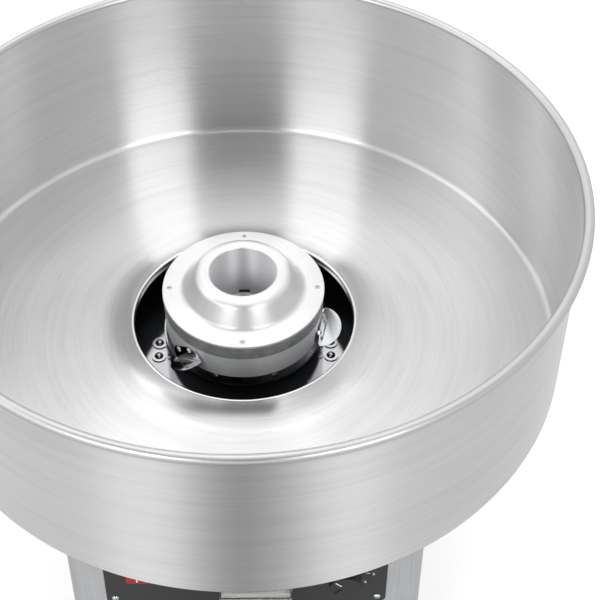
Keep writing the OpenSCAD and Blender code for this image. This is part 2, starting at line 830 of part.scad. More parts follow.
module bottom_plate() {
    w = body_w - 2 * sheet_t - 0.4;
    d = body_d - 4 * sheet_t - 0.8;
    color("#B7B9BB") translate([0, -sheet_t, 0]) difference() {
        translate([0, 0, z_base]) linear_extrude(plate_rim) rounded_rect(w, d, body_r - sheet_t);
        translate([0, 0, z_base + sheet_t]) linear_extrude(plate_rim)
            rounded_rect(w - 2 * sheet_t, d - 2 * sheet_t, body_r - 2 * sheet_t);
        translate([0, sheet_t, z_base - 1]) at_corners(foot_x, foot_y) cylinder(r = foot_hole_r, h = 5);
        // air inlet under the fan
        for (r = [24, 44], a = [0:20:340]) rotate(a + r) translate([r, 0, z_base - 1]) cylinder(r = 4, h = 5);
        translate([0, sheet_t, 0]) for (s = [-1, 1]) bottom_screw_holes(s);
    }
}

module foot(sx, sy) {
    color("#161617") translate([sx * foot_x, sy * foot_y, 0]) difference() {
        union() {
            cylinder(r1 = foot_d / 2 - 2.5, r2 = foot_d / 2, h = foot_h - 4);
            translate([0, 0, foot_h - 4]) cylinder(r = foot_d / 2, h = 4);
        }
        translate([0, 0, -1]) cylinder(r = foot_recess_r, h = foot_recess_h + 1);
        cylinder(r = foot_hole_r, h = foot_h + 1);
    }
}

module foot_screws() {
    color("#A3A5A7") at_corners(foot_x, foot_y) {
        translate([0, 0, foot_recess_h]) rotate([180, 0, 0])
            pan_screw(screw_m5_r, foot_h - foot_recess_h + sheet_t + 6, 4.6, 3.2);
        translate([0, 0, z_base + sheet_t]) difference() {
            cylinder(r = 4.6, h = 4, $fn = 6);
            translate([0, 0, -1]) cylinder(r = screw_m5_r + seat_gap, h = 6);
        }
    }
}

// Small pan-head screws round the case: deck, bottom plate and rear cover
module case_screws() {
    head_h = 1.8;
    color("#A9ABAD") for (s = [-1, 1]) {
        for (y = [-90, 90]) {
            translate([s * base_w / 2, y, z_deck - deck_skirt / 2 - 1]) rotate([0, s * 90, 0])
                pan_screw(1.5, 6, 3, head_h);
            translate([s * body_w / 2, y, z_base + plate_rim / 2]) rotate([0, s * 90, 0])
                pan_screw(1.5, 6, 3, head_h);
        }
        for (z = [40, base_h / 2, base_h - 40])
            translate([s * cover_screw_x, body_d / 2, z_base + z]) rotate([-90, 0, 0])
                pan_screw(1.5, 6, 3, head_h);
    }
}

// ---- Motor --------------------------------------------------------------

module motor_bracket() {
    color("#8D9092") difference() {
        translate([0, 0, z_bracket]) linear_extrude(bracket_t) {
            circle(bracket_disc_r);
            rounded_rect(2 * bracket_reach, bracket_w, 6);
        }
        translate([0, 0, z_bracket - 1]) cylinder(r = shaft_r + 4, h = bracket_t + 2);
        bracket_holes();
        for (a = [45:90:315]) rotate(a) translate([motor_screw_circle_r, 0, z_bracket - 1])
            cylinder(r = bracket_hole_r, h = bracket_t + 2);
    }
}

module bracket_screws() {
    color("#B3B5B7") at_corners(bracket_screw_r, bracket_screw_pitch / 2)
        translate([0, 0, z_deck + washer_t])
            pan_screw(screw_m4_r, z_deck + washer_t - z_bracket + nut_t + 1, pan_head_r, pan_head_h);
}

module bracket_washers() {
    color("#DADBDC") at_corners(bracket_screw_r, bracket_screw_pitch / 2)
        translate([0, 0, z_deck]) ring(washer_r, screw_m4_r + 0.2, washer_t);
}

module bracket_nuts() {
    color("#A3A5A7") at_corners(bracket_screw_r, bracket_screw_pitch / 2)
        translate([0, 0, z_bracket - nut_t]) difference() {
            cylinder(r = nut_r, h = nut_t, $fn = 6);
            translate([0, 0, -1]) cylinder(r = screw_m4_r + seat_gap, h = nut_t + 2);
        }
}

// End bell with its closed end upwards, from z = 0 to bell_h
module end_bell() {
    difference() {
        cylinder(r = motor_r, h = bell_h);
        translate([0, 0, -1]) cylinder(r = motor_r - bell_wall, h = bell_cavity_h + 1);
        translate([0, 0, bell_cavity_h - 1]) cylinder(r = bearing_r + seat_gap, h = bearing_h + 1);
        cylinder(r = shaft_r + 3, h = bell_h + 1);
        // cooling windows
        for (a = [0:45:315]) rotate(a + 22.5)
            translate([motor_r - bell_wall - 2, -9, -1]) cube([bell_wall + 4, 18, 9]);
    }
}

module motor_top_bell() {
    color("#3A3D40") difference() {
        translate([0, 0, z_stator_top]) end_bell();
        tie_bolt_holes();
        for (a = [45:90:315]) rotate(a) translate([motor_screw_circle_r, 0, z_motor_top - 9])
            cylinder(r = screw_m4_r + seat_gap, h = 10);
    }
}

module motor_bottom_bell() {
    color("#3A3D40") difference() {
        translate([0, 0, z_stator]) mirror([0, 0, 1]) end_bell();
        tie_bolt_holes();
    }
}

module motor_stator() {
    color("#6A6D70") difference() {
        translate([0, 0, z_stator]) ring(motor_r - 1, rotor_r, stator_h);
        tie_bolt_holes();
    }
}

module stator_windings() {
    coil_h = bell_cavity_h - 4;
    color("#B5651D") for (z = [z_stator_top, z_stator - coil_h]) translate([0, 0, z])
        ring(motor_r - bell_wall - 2, rotor_r + 2, coil_h);
}

// Four screws through the bracket, and the four long ones that tie the motor together
module motor_screws() {
    color("#A3A5A7") {
        for (a = [45:90:315]) rotate(a) translate([motor_screw_circle_r, 0, z_bracket + bracket_t])
            pan_screw(screw_m4_r, bracket_t + 8, pan_head_r, pan_head_h);
        for (a = [0:90:270]) rotate(a) translate([tie_bolt_circle_r, 0, z_motor]) {
            cylinder(r = screw_m4_r, h = 2 * bell_h + stator_h - 6);
            translate([0, 0, -3.2]) cylinder(r = nut_r, h = 3.2, $fn = 6);
        }
    }
}

// Holes for the long screws
module tie_bolt_holes() {
    for (a = [0:90:270]) rotate(a) translate([tie_bolt_circle_r, 0, z_motor - 1])
        cylinder(r = screw_m4_r + seat_gap, h = 2 * bell_h + stator_h - 4.9);
}

module bearing_upper() {
    color("#BEC0C2") translate([0, 0, z_stator_top + bell_cavity_h])
        ring(bearing_r, shaft_r + run_gap, bearing_h);
}

module bearing_lower() {
    color("#BEC0C2") translate([0, 0, z_stator - bell_cavity_h - bearing_h])
        ring(bearing_r, shaft_r + run_gap, bearing_h);
}

// ---- Brush gear ---------------------------------------------------------

// Centre height of each brush
brush_levels = [z_ring_upper + ring_h / 2, z_ring_lower + ring_h / 2];

module brush_holder() {
    color("#4A2A1A") difference() {
        translate([-holder_x - holder_l, -holder_w / 2, z_bracket + bracket_t])
            cube([holder_l, holder_w, z_holder_top - z_bracket - bracket_t]);
        for (z = brush_levels)
            translate([-holder_x - holder_l + holder_back, -brush_w / 2 - brush_clear, z - brush_h / 2 - brush_clear])
                cube([holder_l, brush_w + 2 * brush_clear, brush_h + 2 * brush_clear]);
    }
}

module carbon_brushes() {
    color("#1E1E20") for (z = brush_levels)
        translate([-ring_r - rest_gap - brush_l, -brush_w / 2, z - brush_h / 2]) difference() {
            cube([brush_l, brush_w, brush_h]);
            // the face is worn to the ring's curve
            translate([brush_l + rest_gap + ring_r, brush_w / 2, -1]) cylinder(r = ring_r + rest_gap, h = brush_h + 2);
        }
}

// Folded leaf springs behind the brushes
module brush_springs() {
    start = -ring_r - rest_gap - brush_l;
    end = -holder_x - holder_l + holder_back + 0.6;
    folds = 6;
    pitch = (end - start) / folds;
    t = 0.5;
    color("#B9BBBD") for (z = brush_levels) translate([0, 0, z - 2]) linear_extrude(4)
        for (i = [0:folds - 1]) {
            x0 = start + i * pitch;
            s = i % 2 == 0 ? 1 : -1;
            polygon([[x0, -s * 3.5], [x0 + pitch, s * 3.5], [x0 + pitch - t, s * 3.5], [x0 - t, -s * 3.5]]);
        }
}

// ---- Controls -----------------------------------------------------------

module control_panel() {
    color("#1C1D1F") difference() {
        on_panel(0) translate([0, 0, -panel_t]) linear_extrude(panel_t) difference() {
            rounded_rect(panel_w, panel_h, panel_r);
            for (x = [power_x, heat_x]) translate([x, 0])
                square([switch_case_w + 0.4, switch_case_h + 0.4], center = true);
            translate([meter_x, 0]) circle(meter_body_r + 0.2);
            translate([knob_x, 0]) circle(bush_thread_r + 0.1);
        }
        panel_screw_holes();
    }
}

module panel_screws() {
    color("#B3B5B7") on_panel(0) at_corners(panel_w / 2 - 7, panel_h / 2 - 7)
        pan_screw(panel_screw_r, 7, panel_screw_head_r, 1.8);
}

module switch_case(x) {
    color("#131314") on_panel(x) difference() {
        union() {
            linear_extrude(bezel_t) rounded_rect(bezel_w, bezel_h, 2);
            translate([-switch_case_w / 2, -switch_case_h / 2, -switch_depth])
                cube([switch_case_w, switch_case_h, switch_depth + eps]);
            for (y = [-8, 0, 8]) translate([-3, y - 0.4, -switch_depth - 7]) cube([6, 0.8, 8]);
        }
        translate([-well_w / 2, -well_h / 2, -9]) cube([well_w, well_h, 20]);
        translate([-switch_case_w, 0, rocker_pivot]) rotate([0, 90, 0])
            cylinder(r = rocker_pin_r + run_gap, h = 2 * switch_case_w);
    }
}

// Rocker, tipped to its off position
module rocker(x, shade) {
    reach = well_h / 2 - rocker_gap;
    width = well_w - 2 * rocker_gap;
    color(shade) on_panel(x) translate([0, 0, rocker_pivot]) rotate([-rocker_throw / 2, 0, 0]) {
        intersection() {
            rotate([0, 90, 0]) translate([0, 0, -width / 2]) cylinder(r = reach, h = width);
            rotate([90, 0, 90]) translate([0, 0, -width / 2]) linear_extrude(width)
                polygon([[-reach, -2.5], [reach, -2.5], [reach, 6.2], [0, 4], [-reach, 6.2]]);
        }
        rotate([0, 90, 0]) translate([0, 0, -switch_case_w / 2 + 0.2])
            cylinder(r = rocker_pin_r, h = switch_case_w - 0.4);
    }
}

// Heat regulator behind the panel: body, threaded bush and nut
module heat_regulator() {
    color("#9A9C9E") on_panel(knob_x) difference() {
        union() {
            translate([-regulator_w / 2, -regulator_w / 2, -panel_t - regulator_l])
                cube([regulator_w, regulator_w, regulator_l]);
            translate([0, 0, -panel_t - eps]) cylinder(r = bush_thread_r, h = panel_t + 3.5);
            cylinder(r = 8, h = 2, $fn = 6);
        }
        translate([0, 0, -panel_t - 14]) cylinder(r = knob_stem_r + run_gap, h = 30);
    }
}

module heat_knob() {
    color("#202123") on_panel(knob_x) {
        difference() {
            union() {
                translate([0, 0, 2.6]) cylinder(r = knob_d / 2, h = 3);
                translate([0, 0, 5.5]) cylinder(r1 = knob_d / 2 - 2, r2 = knob_d / 2 - 3.5, h = knob_h - 3);
            }
            // finger flutes
            for (a = [0:30:330]) rotate(a) translate([knob_d / 2 + 0.6, 0, 7]) cylinder(r = 3, h = knob_h);
            // hollow over the bush and nut
            translate([0, 0, 2]) cylinder(r = 9.5, h = 3);
        }
        // pointer
        rotate(135) translate([-0.8, 4, knob_h + 2.4]) cube([1.6, knob_d / 2 - 8.5, 0.6]);
        translate([0, 0, -panel_t - 12]) cylinder(r = knob_stem_r, h = 20);
    }
}

module meter_case() {
    color("#18191A") on_panel(meter_x) difference() {
        union() {
            linear_extrude(meter_t) rounded_rect(meter_w, meter_h, 3);
            translate([0, 0, -meter_body_l]) cylinder(r = meter_body_r, h = meter_body_l + eps);
        }
        translate([0, 0, meter_wall]) linear_extrude(meter_t)
            rounded_rect(meter_w - 2 * meter_wall, meter_h - 2 * meter_wall, 2);
    }
}

// Dial, with the pin that the needle turns on
module meter_dial() {
    color("#F2F1EC") on_panel(meter_x) {
        translate([0, 0, meter_wall]) linear_extrude(1)
            rounded_rect(meter_w - 2 * meter_wall - 0.2, meter_h - 2 * meter_wall - 0.2, 2);
        translate([0, meter_pivot_y, meter_wall]) cylinder(r = needle_pin_r, h = 4.6);
        // cover over the movement
        translate([-(meter_w / 2 - meter_wall - 2), -(meter_h / 2 - meter_wall - 0.2), meter_wall + 1 - eps])
            cube([meter_w - 2 * meter_wall - 4, 6, 5]);
    }
}

module meter_window() {
    color([0.85, 0.92, 0.95, 0.35]) on_panel(meter_x) translate([0, 0, meter_t - 1.8]) linear_extrude(1.8)
        rounded_rect(meter_w - 2 * meter_wall - 0.1, meter_h - 2 * meter_wall - 0.1, 2);
}

// Needle, at the left end of its sweep
module meter_needle() {
    color("#B3201E") on_panel(meter_x) translate([0, meter_pivot_y, meter_wall + 2.4])
        rotate(needle_sweep / 2) difference() {
            linear_extrude(0.8) {
                circle(needle_hub_r);
                polygon([[-1.2, -4.5], [1.2, -4.5], [0.25, needle_l], [-0.25, needle_l]]);
            }
            translate([0, 0, -1]) cylinder(r = needle_pin_r + run_gap, h = 3);
        }
}

// Gland for the mains cord
module cord_gland() {
    color("#1A1A1B") translate([gland_x, cover_y, gland_z]) rotate([-90, 0, 0]) difference() {
        union() {
            translate([0, 0, -sheet_t - gland_in]) cylinder(r = gland_r, h = gland_in + sheet_t + eps);
            cylinder(r = gland_flange_r, h = 4);
            translate([0, 0, 4 - eps]) cylinder(r1 = gland_r + 2, r2 = gland_r - 1, h = gland_out - 4);
            translate([0, 0, -sheet_t - 5]) cylinder(r = gland_flange_r, h = 5, $fn = 6);
        }
        translate([0, 0, -sheet_t - gland_in - 1]) cylinder(r = gland_bore_d / 2, h = gland_in + gland_out + sheet_t + 2);
    }
}

// ---- Assembly -----------------------------------------------------------

bowl();
bowl_locating_ring();
bowl_seat_drum();
bowl_gasket();
head_cap();
head_band();
head_dish();
cap_screws();
head_screw();
vane(0);  // vane_1
vane(1);  // vane_2
vane(2);  // vane_3
vane_rivets();
heating_element();
element_posts();
heater_leads();
spindle();
slip_ring_sleeve();
slip_ring(z_ring_upper);  // slip_ring_upper
slip_ring(z_ring_lower);  // slip_ring_lower
rotor_core();
cooling_fan();
deck();
deck_collar();
housing();
rear_cover();
bottom_plate();
foot(-1, -1);  // foot_front_left
foot(1, -1);  // foot_front_right
foot(-1, 1);  // foot_rear_left
foot(1, 1);  // foot_rear_right
foot_screws();
case_screws();
motor_bracket();
bracket_screws();
bracket_washers();
bracket_nuts();
motor_top_bell();
motor_stator();
stator_windings();
motor_bottom_bell();
motor_screws();
bearing_upper();
bearing_lower();
brush_holder();
carbon_brushes();
brush_springs();
control_panel();
panel_screws();
switch_case(power_x);  // power_switch_case
switch_case(heat_x);  // heat_switch_case
rocker(power_x, "#B11E1E");  // power_rocker
rocker(heat_x, "#1E7A36");  // heat_rocker
heat_regulator();
heat_knob();
meter_case();
meter_dial();
meter_window();
meter_needle();
cord_gland();
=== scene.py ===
"""Counter-top candy floss machine: finishes, turned metalwork, markings and studio.

Lengths are millimetres in the dataclasses and metres in Blender. A piece that stands
for a node of the frame has that node's sizes, and every other node is dressed as it is.
"""
import json
import logging
import math
from dataclasses import dataclass, field
from enum import Enum
from typing import Callable, Optional, Sequence

import bpy
from mathutils import Matrix, Vector


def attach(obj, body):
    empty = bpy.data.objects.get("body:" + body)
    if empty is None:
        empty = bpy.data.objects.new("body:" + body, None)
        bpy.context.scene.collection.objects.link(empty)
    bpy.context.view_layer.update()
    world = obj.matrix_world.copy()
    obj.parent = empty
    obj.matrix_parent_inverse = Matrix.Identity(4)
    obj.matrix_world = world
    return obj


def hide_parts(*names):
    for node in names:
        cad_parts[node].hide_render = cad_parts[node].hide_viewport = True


LOG = logging.getLogger("floss_machine")
MM = 0.001
MICROMETRE = 1e-6

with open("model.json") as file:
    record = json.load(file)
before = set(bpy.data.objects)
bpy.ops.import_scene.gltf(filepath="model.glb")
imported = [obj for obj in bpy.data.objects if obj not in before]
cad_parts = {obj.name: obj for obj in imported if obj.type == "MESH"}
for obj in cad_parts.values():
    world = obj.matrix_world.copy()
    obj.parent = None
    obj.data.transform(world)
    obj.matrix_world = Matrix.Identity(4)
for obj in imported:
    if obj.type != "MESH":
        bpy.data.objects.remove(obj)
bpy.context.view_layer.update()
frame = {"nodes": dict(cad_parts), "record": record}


# ---- Nodes and colours ---------------------------------------------------


def srgb(code: str) -> tuple[float, float, float, float]:
    """Turn an sRGB hex colour to linear.

    Args:
        code: Six hex digits after a hash sign.

    Returns:
        Linear red, green and blue, and full opacity.
    """
    parts = [int(code[i:i + 2], 16) / 255 for i in (1, 3, 5)]
    red, green, blue = (p / 12.92 if p <= 0.04045 else ((p + 0.055) / 1.055) ** 2.4 for p in parts)
    return red, green, blue, 1.0


@dataclass
class Graph:
    """The node tree of one material or world, with a short way to add to it."""

    tree: bpy.types.NodeTree

    def add(self, kind: str, settings: Optional[dict] = None, **inputs: object) -> bpy.types.Node:
        """Add a node with its settings and links.

        Args:
            kind: The node's type, such as ShaderNodeTexNoise.
            settings: Attributes by name, and socket values by name or number.
            inputs: Sockets to link in, or plain values, by the input's name with _ for
                a space, or by its number as in0, in1 and so on.

        Returns:
            The new node.
        """
        made = self.tree.nodes.new(kind)
        for key, value in (settings or {}).items():
            if isinstance(key, str) and hasattr(made, key):
                setattr(made, key, value)
            else:
                made.inputs[key].default_value = value
        for key, source in inputs.items():
            number = key.removeprefix("in")
            socket = made.inputs[int(number) if number.isdigit() else key.replace("_", " ")]
            if isinstance(source, bpy.types.NodeSocket):
                self.tree.links.new(source, socket)
            else:
                socket.default_value = source
        return made

    def first(self, kind: str, settings: Optional[dict] = None, **inputs: object) -> bpy.types.NodeSocket:
        """Add a node as add does, and return its first output."""
        return self.add(kind, settings, **inputs).outputs[0]


# ---- Finishes ------------------------------------------------------------


# Shares of the fine marks and of the soft patches in how a surface varies.
MARK_SHARE = 0.6
PATCH_SHARE = 0.4
# Values of the noise between which colour, roughness and streaks run from end to end.
TINT_NOISE = (0.35, 0.75)
ROUGH_NOISE = (0.3, 0.7)
STREAK_NOISE = (0.42, 0.7)
# Radius, in metres, that a full turn is drawn in to, where a mark is as long as it is wide.
MARK_TURN = 0.05
STREAK_TURN = 0.3
# Where the roller's smooth ring is whole, as a share of its radius, and the roughness left there.
ROLLER_CORE = 0.8
ROLLER_LEFT = 0.55
COAT_ROUGHNESS = 0.08
# How far out along its normal, in metres, a face lies before it counts as looking outwards.
OUTWARDS = 0.01
LEVEL = (1.0, 1.0, 0.0)
UP = (0.0, 0.0, 1.0)
SIDEWAYS = (1.0, 0.0, 0.0)


class Grain(Enum):
    """The way that a surface's finest marks run."""

    RINGS = "rings about the spindle"
    UPRIGHT = "up and down"
    ACROSS = "from side to side"
    NONE = "no direction"


@dataclass(frozen=True)
class Finish:
    """A real material, and how its surface was made.

    Args:
        name: Plain name of the material and its finish.
        colour: Main colour, sRGB hex.
        shade: Second colour, which patches and marks lean towards.
        metallic: 1 for bare metal.
        roughness: Middle roughness.
        spread: How far roughness moves either side of the middle.
        grain: Direction of the finest marks.
        mark_mm: Spacing of those marks, as coarse as a render can show.
        patch_mm: Size of the soft patches in the colour.
        bump: Depth of the marks in the bump, in micrometres.
        stretch: How much longer than wide a mark is.
        anisotropic: How far a highlight is drawn out across the grain.
        coat: Weight of a clear coat.
        transmission: Weight of clear transmission.
        burnished: Radius about the spindle, in millimetres, inside which the forming
            roller has smoothed the surface, or 0.
        streak_mm: Spacing of the broad darker streaks along the grain, or 0.
        streak: How much darker such a streak is.
        outside: Colour of the faces that look away from the spindle, sRGB hex, or nothing; where it is given,
            the main colour on the other faces is a painted shade.
    """

    name: str
    colour: str
    shade: str
    metallic: float = 0.0
    roughness: float = 0.5
    spread: float = 0.05
    grain: Grain = Grain.NONE
    mark_mm: float = 1.0
    patch_mm: float = 40.0
    bump: float = 20.0
    stretch: float = 30.0
    anisotropic: float = 0.0
    coat: float = 0.0
    transmission: float = 0.0
    burnished: float = 0.0
    streak_mm: float = 0.0
    streak: float = 0.0
    outside: str = ""

    def build(self) -> bpy.types.Material:
        """Make the material's nodes.

        Returns:
            The finished material.
        """
        made = bpy.data.materials.new(self.name)
        made.use_nodes = True
        made.node_tree.nodes.clear()
        g = Graph(made.node_tree)
        place = g.add("ShaderNodeTexCoord").outputs["Object"]
        marks = self.marks(g, place)
        mix = self.variation(g, place, marks)
        low, high = ROUGH_NOISE
        ends = {
            "From Min": low, "From Max": high,
            "To Min": self.roughness - self.spread, "To Max": self.roughness + self.spread,
        }
        rough = g.first("ShaderNodeMapRange", ends, Value=mix)
        if self.burnished:
            share = self.roller_share(g, place)
            rough = g.first("ShaderNodeMath", {"operation": "MULTIPLY"}, in0=rough, in1=share)
        relief = {"Strength": 1.0, "Distance": self.bump * MICROMETRE}
        shader = g.add(
            "ShaderNodeBsdfPrincipled",
            {
                "Metallic": self.metallic,
                "Anisotropic": self.anisotropic,
                "Coat Weight": self.coat,
                "Coat Roughness": COAT_ROUGHNESS,
                "Transmission Weight": self.transmission,
            },
            Base_Color=self.tint(g, place, mix),
            Roughness=rough,
            Normal=g.first("ShaderNodeBump", relief, Height=marks),
        )
        if self.anisotropic:
            g.tree.links.new(self.across_grain(g, place), shader.inputs["Tangent"])
        g.add("ShaderNodeOutputMaterial", in0=shader.outputs[0])
        return made

    def variation(self, g: Graph, place: bpy.types.NodeSocket,
                  marks: bpy.types.NodeSocket) -> bpy.types.NodeSocket:
        """Mix the fine marks with soft patches.

        Args:
            g: The material's nodes.
            place: Object coordinates.
            marks: The fine marks, between 0 and 1.

        Returns:
            How the surface varies, between 0 and 1.
        """
        size = {"Scale": 1 / (self.patch_mm * MM), "Detail": 2.0, "Roughness": 0.5}
        patches = g.add("ShaderNodeTexNoise", size, Vector=place).outputs["Fac"]
        fine = g.first("ShaderNodeMath", {"operation": "MULTIPLY"}, in0=marks, in1=MARK_SHARE)
        broad = g.first("ShaderNodeMath", {"operation": "MULTIPLY"}, in0=patches, in1=PATCH_SHARE)
        return g.first("ShaderNodeMath", {"operation": "ADD"}, in0=fine, in1=broad)

    def tint(self, g: Graph, place: bpy.types.NodeSocket, mix: bpy.types.NodeSocket) -> bpy.types.NodeSocket:
        """Colour the surface between its two colours, with its streaks and its outside.

        Args:
            g: The material's nodes.
            place: Object coordinates.
            mix: How the surface varies, between 0 and 1.

        Returns:
            The colour.
        """
        low, high = TINT_NOISE
        share = g.first("ShaderNodeMapRange", {"From Min": low, "From Max": high}, Value=mix)
        colours = {"data_type": "RGBA", 6: srgb(self.colour), 7: srgb(self.shade)}
        colour = g.add("ShaderNodeMix", colours, in0=share).outputs[2]
        if self.streak:
            dark = {"data_type": "RGBA", "blend_type": "MULTIPLY", 0: 1.0}
            colour = g.add("ShaderNodeMix", dark, in6=colour, in7=self.streaks(g, place)).outputs[2]
        # faces that look away from the spindle take the outside colour; the inward ones keep the main colour
        # as a painted shade
        if self.outside:
            other = {"data_type": "RGBA", 7: srgb(self.outside)}
            colour = g.add("ShaderNodeMix", other, in0=self.facing_out(g, place), in6=colour).outputs[2]
        return colour

    def streaks(self, g: Graph, place: bpy.types.NodeSocket) -> bpy.types.NodeSocket:
        """Draw broad streaks that follow the rings.

        Args:
            g: The material's nodes.
            place: Object coordinates.

        Returns:
            1 where there is no streak, and less in one.
        """
        where, aside = self.ring_place(g, place, STREAK_TURN / self.stretch)
        size = {
            "noise_dimensions": "4D", "Scale": 1 / (self.streak_mm * MM), "Detail": 4.0, "Roughness": 0.7,
        }
        bands = g.add("ShaderNodeTexNoise", size, Vector=where, W=aside).outputs["Fac"]
        low, high = STREAK_NOISE
        depth = {"From Min": low, "From Max": high, "To Min": 1.0, "To Max": 1.0 - self.streak}
        return g.first("ShaderNodeMapRange", depth, Value=bands)

    def facing_out(self, g: Graph, place: bpy.types.NodeSocket) -> bpy.types.NodeSocket:
        """Tell the faces that look away from the spindle.

        Args:
            g: The material's nodes.
            place: Object coordinates.

        Returns:
            1 on such faces, and 0 on the others.
        """
        normal = g.add("ShaderNodeNewGeometry").outputs["Normal"]
        spread = g.first("ShaderNodeVectorMath", {"operation": "MULTIPLY", 1: LEVEL}, in0=place)
        away = g.add("ShaderNodeVectorMath", {"operation": "DOT_PRODUCT"}, in0=normal, in1=spread)
        far = {"operation": "GREATER_THAN", 1: OUTWARDS}
        return g.first("ShaderNodeMath", far, in0=away.outputs["Value"])

    def spindle_distance(self, g: Graph, place: bpy.types.NodeSocket) -> bpy.types.NodeSocket:
        """Distance from the spindle's axis, in metres."""
        spread = g.first("ShaderNodeVectorMath", {"operation": "MULTIPLY", 1: LEVEL}, in0=place)
        return g.add("ShaderNodeVectorMath", {"operation": "LENGTH"}, in0=spread).outputs["Value"]

    def ring_place(self, g: Graph, place: bpy.types.NodeSocket,
                   length: float) -> tuple[bpy.types.NodeSocket, bpy.types.NodeSocket]:
        """Place in which rings about the spindle are long marks, with no seam in the turn.

        Args:
            g: The material's nodes.
            place: Object coordinates.
            length: Radius, in metres, that a full turn is drawn in to.

        Returns:
            Distance from the spindle, height and one part of the turn, and the turn's other part.
        """
        x, y, z = g.add("ShaderNodeSeparateXYZ", in0=place).outputs
        distance = self.spindle_distance(g, place)
        parts = []
        for side in (x, y):
            share = g.first("ShaderNodeMath", {"operation": "DIVIDE"}, in0=side, in1=distance)
            parts.append(g.first("ShaderNodeMath", {"operation": "MULTIPLY"}, in0=share, in1=length))
        return g.first("ShaderNodeCombineXYZ", in0=distance, in1=z, in2=parts[0]), parts[1]

    def roller_share(self, g: Graph, place: bpy.types.NodeSocket) -> bpy.types.NodeSocket:
        """Smooth the surface towards the opening's lip, where the forming roller pressed it.

        Args:
            g: The material's nodes.
            place: Object coordinates.

        Returns:
            Share of the roughness that is left.
        """
        reach = self.burnished * MM
        ease = {
            "interpolation_type": "SMOOTHSTEP", "From Min": ROLLER_CORE * reach, "From Max": reach,
            "To Min": ROLLER_LEFT, "To Max": 1.0,
        }
        return g.first("ShaderNodeMapRange", ease, Value=self.spindle_distance(g, place))

    def marks(self, g: Graph, place: bpy.types.NodeSocket) -> bpy.types.NodeSocket:
        """Draw noise out along the grain.

        Args:
            g: The material's nodes.
            place: Object coordinates.

        Returns:
            The marks, between 0 and 1.
        """
        size = {"Scale": 1 / (self.mark_mm * MM), "Detail": 3.0, "Roughness": 0.65}
        if self.grain is Grain.RINGS:
            where, aside = self.ring_place(g, place, MARK_TURN / self.stretch)
            size["noise_dimensions"] = "4D"
            return g.add("ShaderNodeTexNoise", size, Vector=where, W=aside).outputs["Fac"]
        thin = 1 / self.stretch
        scale = {
            Grain.UPRIGHT: (1.0, 1.0, thin),
            Grain.ACROSS: (thin, 1.0, 1.0),
            Grain.NONE: (1.0, 1.0, 1.0),
        }[self.grain]
        where = g.first("ShaderNodeMapping", {"Scale": scale}, Vector=place)
        return g.add("ShaderNodeTexNoise", size, Vector=where).outputs["Fac"]

    def across_grain(self, g: Graph, place: bpy.types.NodeSocket) -> bpy.types.NodeSocket:
        """Find the direction along which a highlight is drawn out.

        Args:
            g: The material's nodes.
            place: Object coordinates.

        Returns:
            The direction in the surface, across the grain.
        """
        normal = g.add("ShaderNodeNewGeometry").outputs["Normal"]
        if self.grain is Grain.RINGS:
            along = g.first("ShaderNodeVectorMath", {"operation": "CROSS_PRODUCT", 0: UP}, in1=place)
        else:
            x, y, z = UP if self.grain is Grain.UPRIGHT else SIDEWAYS
            along = g.first("ShaderNodeCombineXYZ", in0=x, in1=y, in2=z)
        spaces = {"vector_type": "VECTOR", "convert_from": "OBJECT", "convert_to": "WORLD"}
        turned_along = g.first("ShaderNodeVectorTransform", spaces, in0=along)
        return g.first("ShaderNodeVectorMath", {"operation": "CROSS_PRODUCT"}, in0=normal, in1=turned_along)


# Stainless sheet spun over a form. Its rings of marks draw each light out into a bright
# upright band, with faint streaks. The marks are under 0.1 mm on the real bowl, and drawn
# coarser, as are those of every turned, brushed or rolled finish below.
SPUN_STEEL = Finish(
    "spun_stainless_steel", "#E3E3E3", "#D8D8D8", metallic=1.0, roughness=0.3, spread=0.03,
    grain=Grain.RINGS, mark_mm=0.9, patch_mm=90, bump=3, stretch=40, anisotropic=1.0,
    burnished=122, streak_mm=5, streak=0.08,
)
# Steel that the forming roller has pressed smooth: a thin bright line round the opening.
BURNISHED_STEEL = Finish(
    "burnished_stainless_lip", "#ECECEC", "#E2E2E2", metallic=1.0, roughness=0.16, spread=0.03,
    grain=Grain.RINGS, mark_mm=0.5, patch_mm=60, bump=1, stretch=60, anisotropic=0.3,
)
# Steel curled into the rim's bead: an even sheen, softer than the wall's bands.
POLISHED_STEEL = Finish(
    "polished_stainless_edge", "#CECECE", "#C2C2C2", metallic=1.0, roughness=0.34, spread=0.03,
    grain=Grain.RINGS, mark_mm=0.5, patch_mm=60, bump=1.5, stretch=60, anisotropic=0.3,
)
# Sheet as it comes bright from the mill: near to a mirror, and without grain.
MILL_STEEL = Finish(
    "bright_mill_sheet", "#C9CACC", "#BDBEC1", metallic=1.0, roughness=0.1, spread=0.03,
    mark_mm=1.2, patch_mm=60, bump=2,
)
# Painted shade: steel coloured dark under the bowl and on its locating ring, and blurred, so the opening
# stays deep.
STEEL_WITH_PAINTED_SHADE = Finish(
    "painted_shade_steel", "#6A6C6F", "#595B5E", metallic=1.0, roughness=0.5, spread=0.06,
    grain=Grain.RINGS, mark_mm=1.4, patch_mm=50, bump=8, stretch=30, anisotropic=0.4,
)
# Sheet rolled into a drum: pale grey without, and dark within as a painted shade.
DRUM_WITH_PAINTED_SHADE = Finish(
    "drum_sheet_painted_shade_inside", "#6A6C6F", "#595B5E", metallic=1.0, roughness=0.5, spread=0.06,
    grain=Grain.RINGS, mark_mm=1.4, patch_mm=50, bump=8, stretch=30, anisotropic=0.4,
    outside="#C0C2C5",
)
# Stainless sheet brushed with a belt: fine upright lines, and light drawn out sideways.
SHEET_STEEL = Finish(
    "brushed_stainless_sheet", "#C4C6C8", "#AEB0B3", metallic=1.0, roughness=0.32, spread=0.06,
    grain=Grain.UPRIGHT, mark_mm=0.8, patch_mm=120, bump=6, stretch=60, anisotropic=0.6,
)
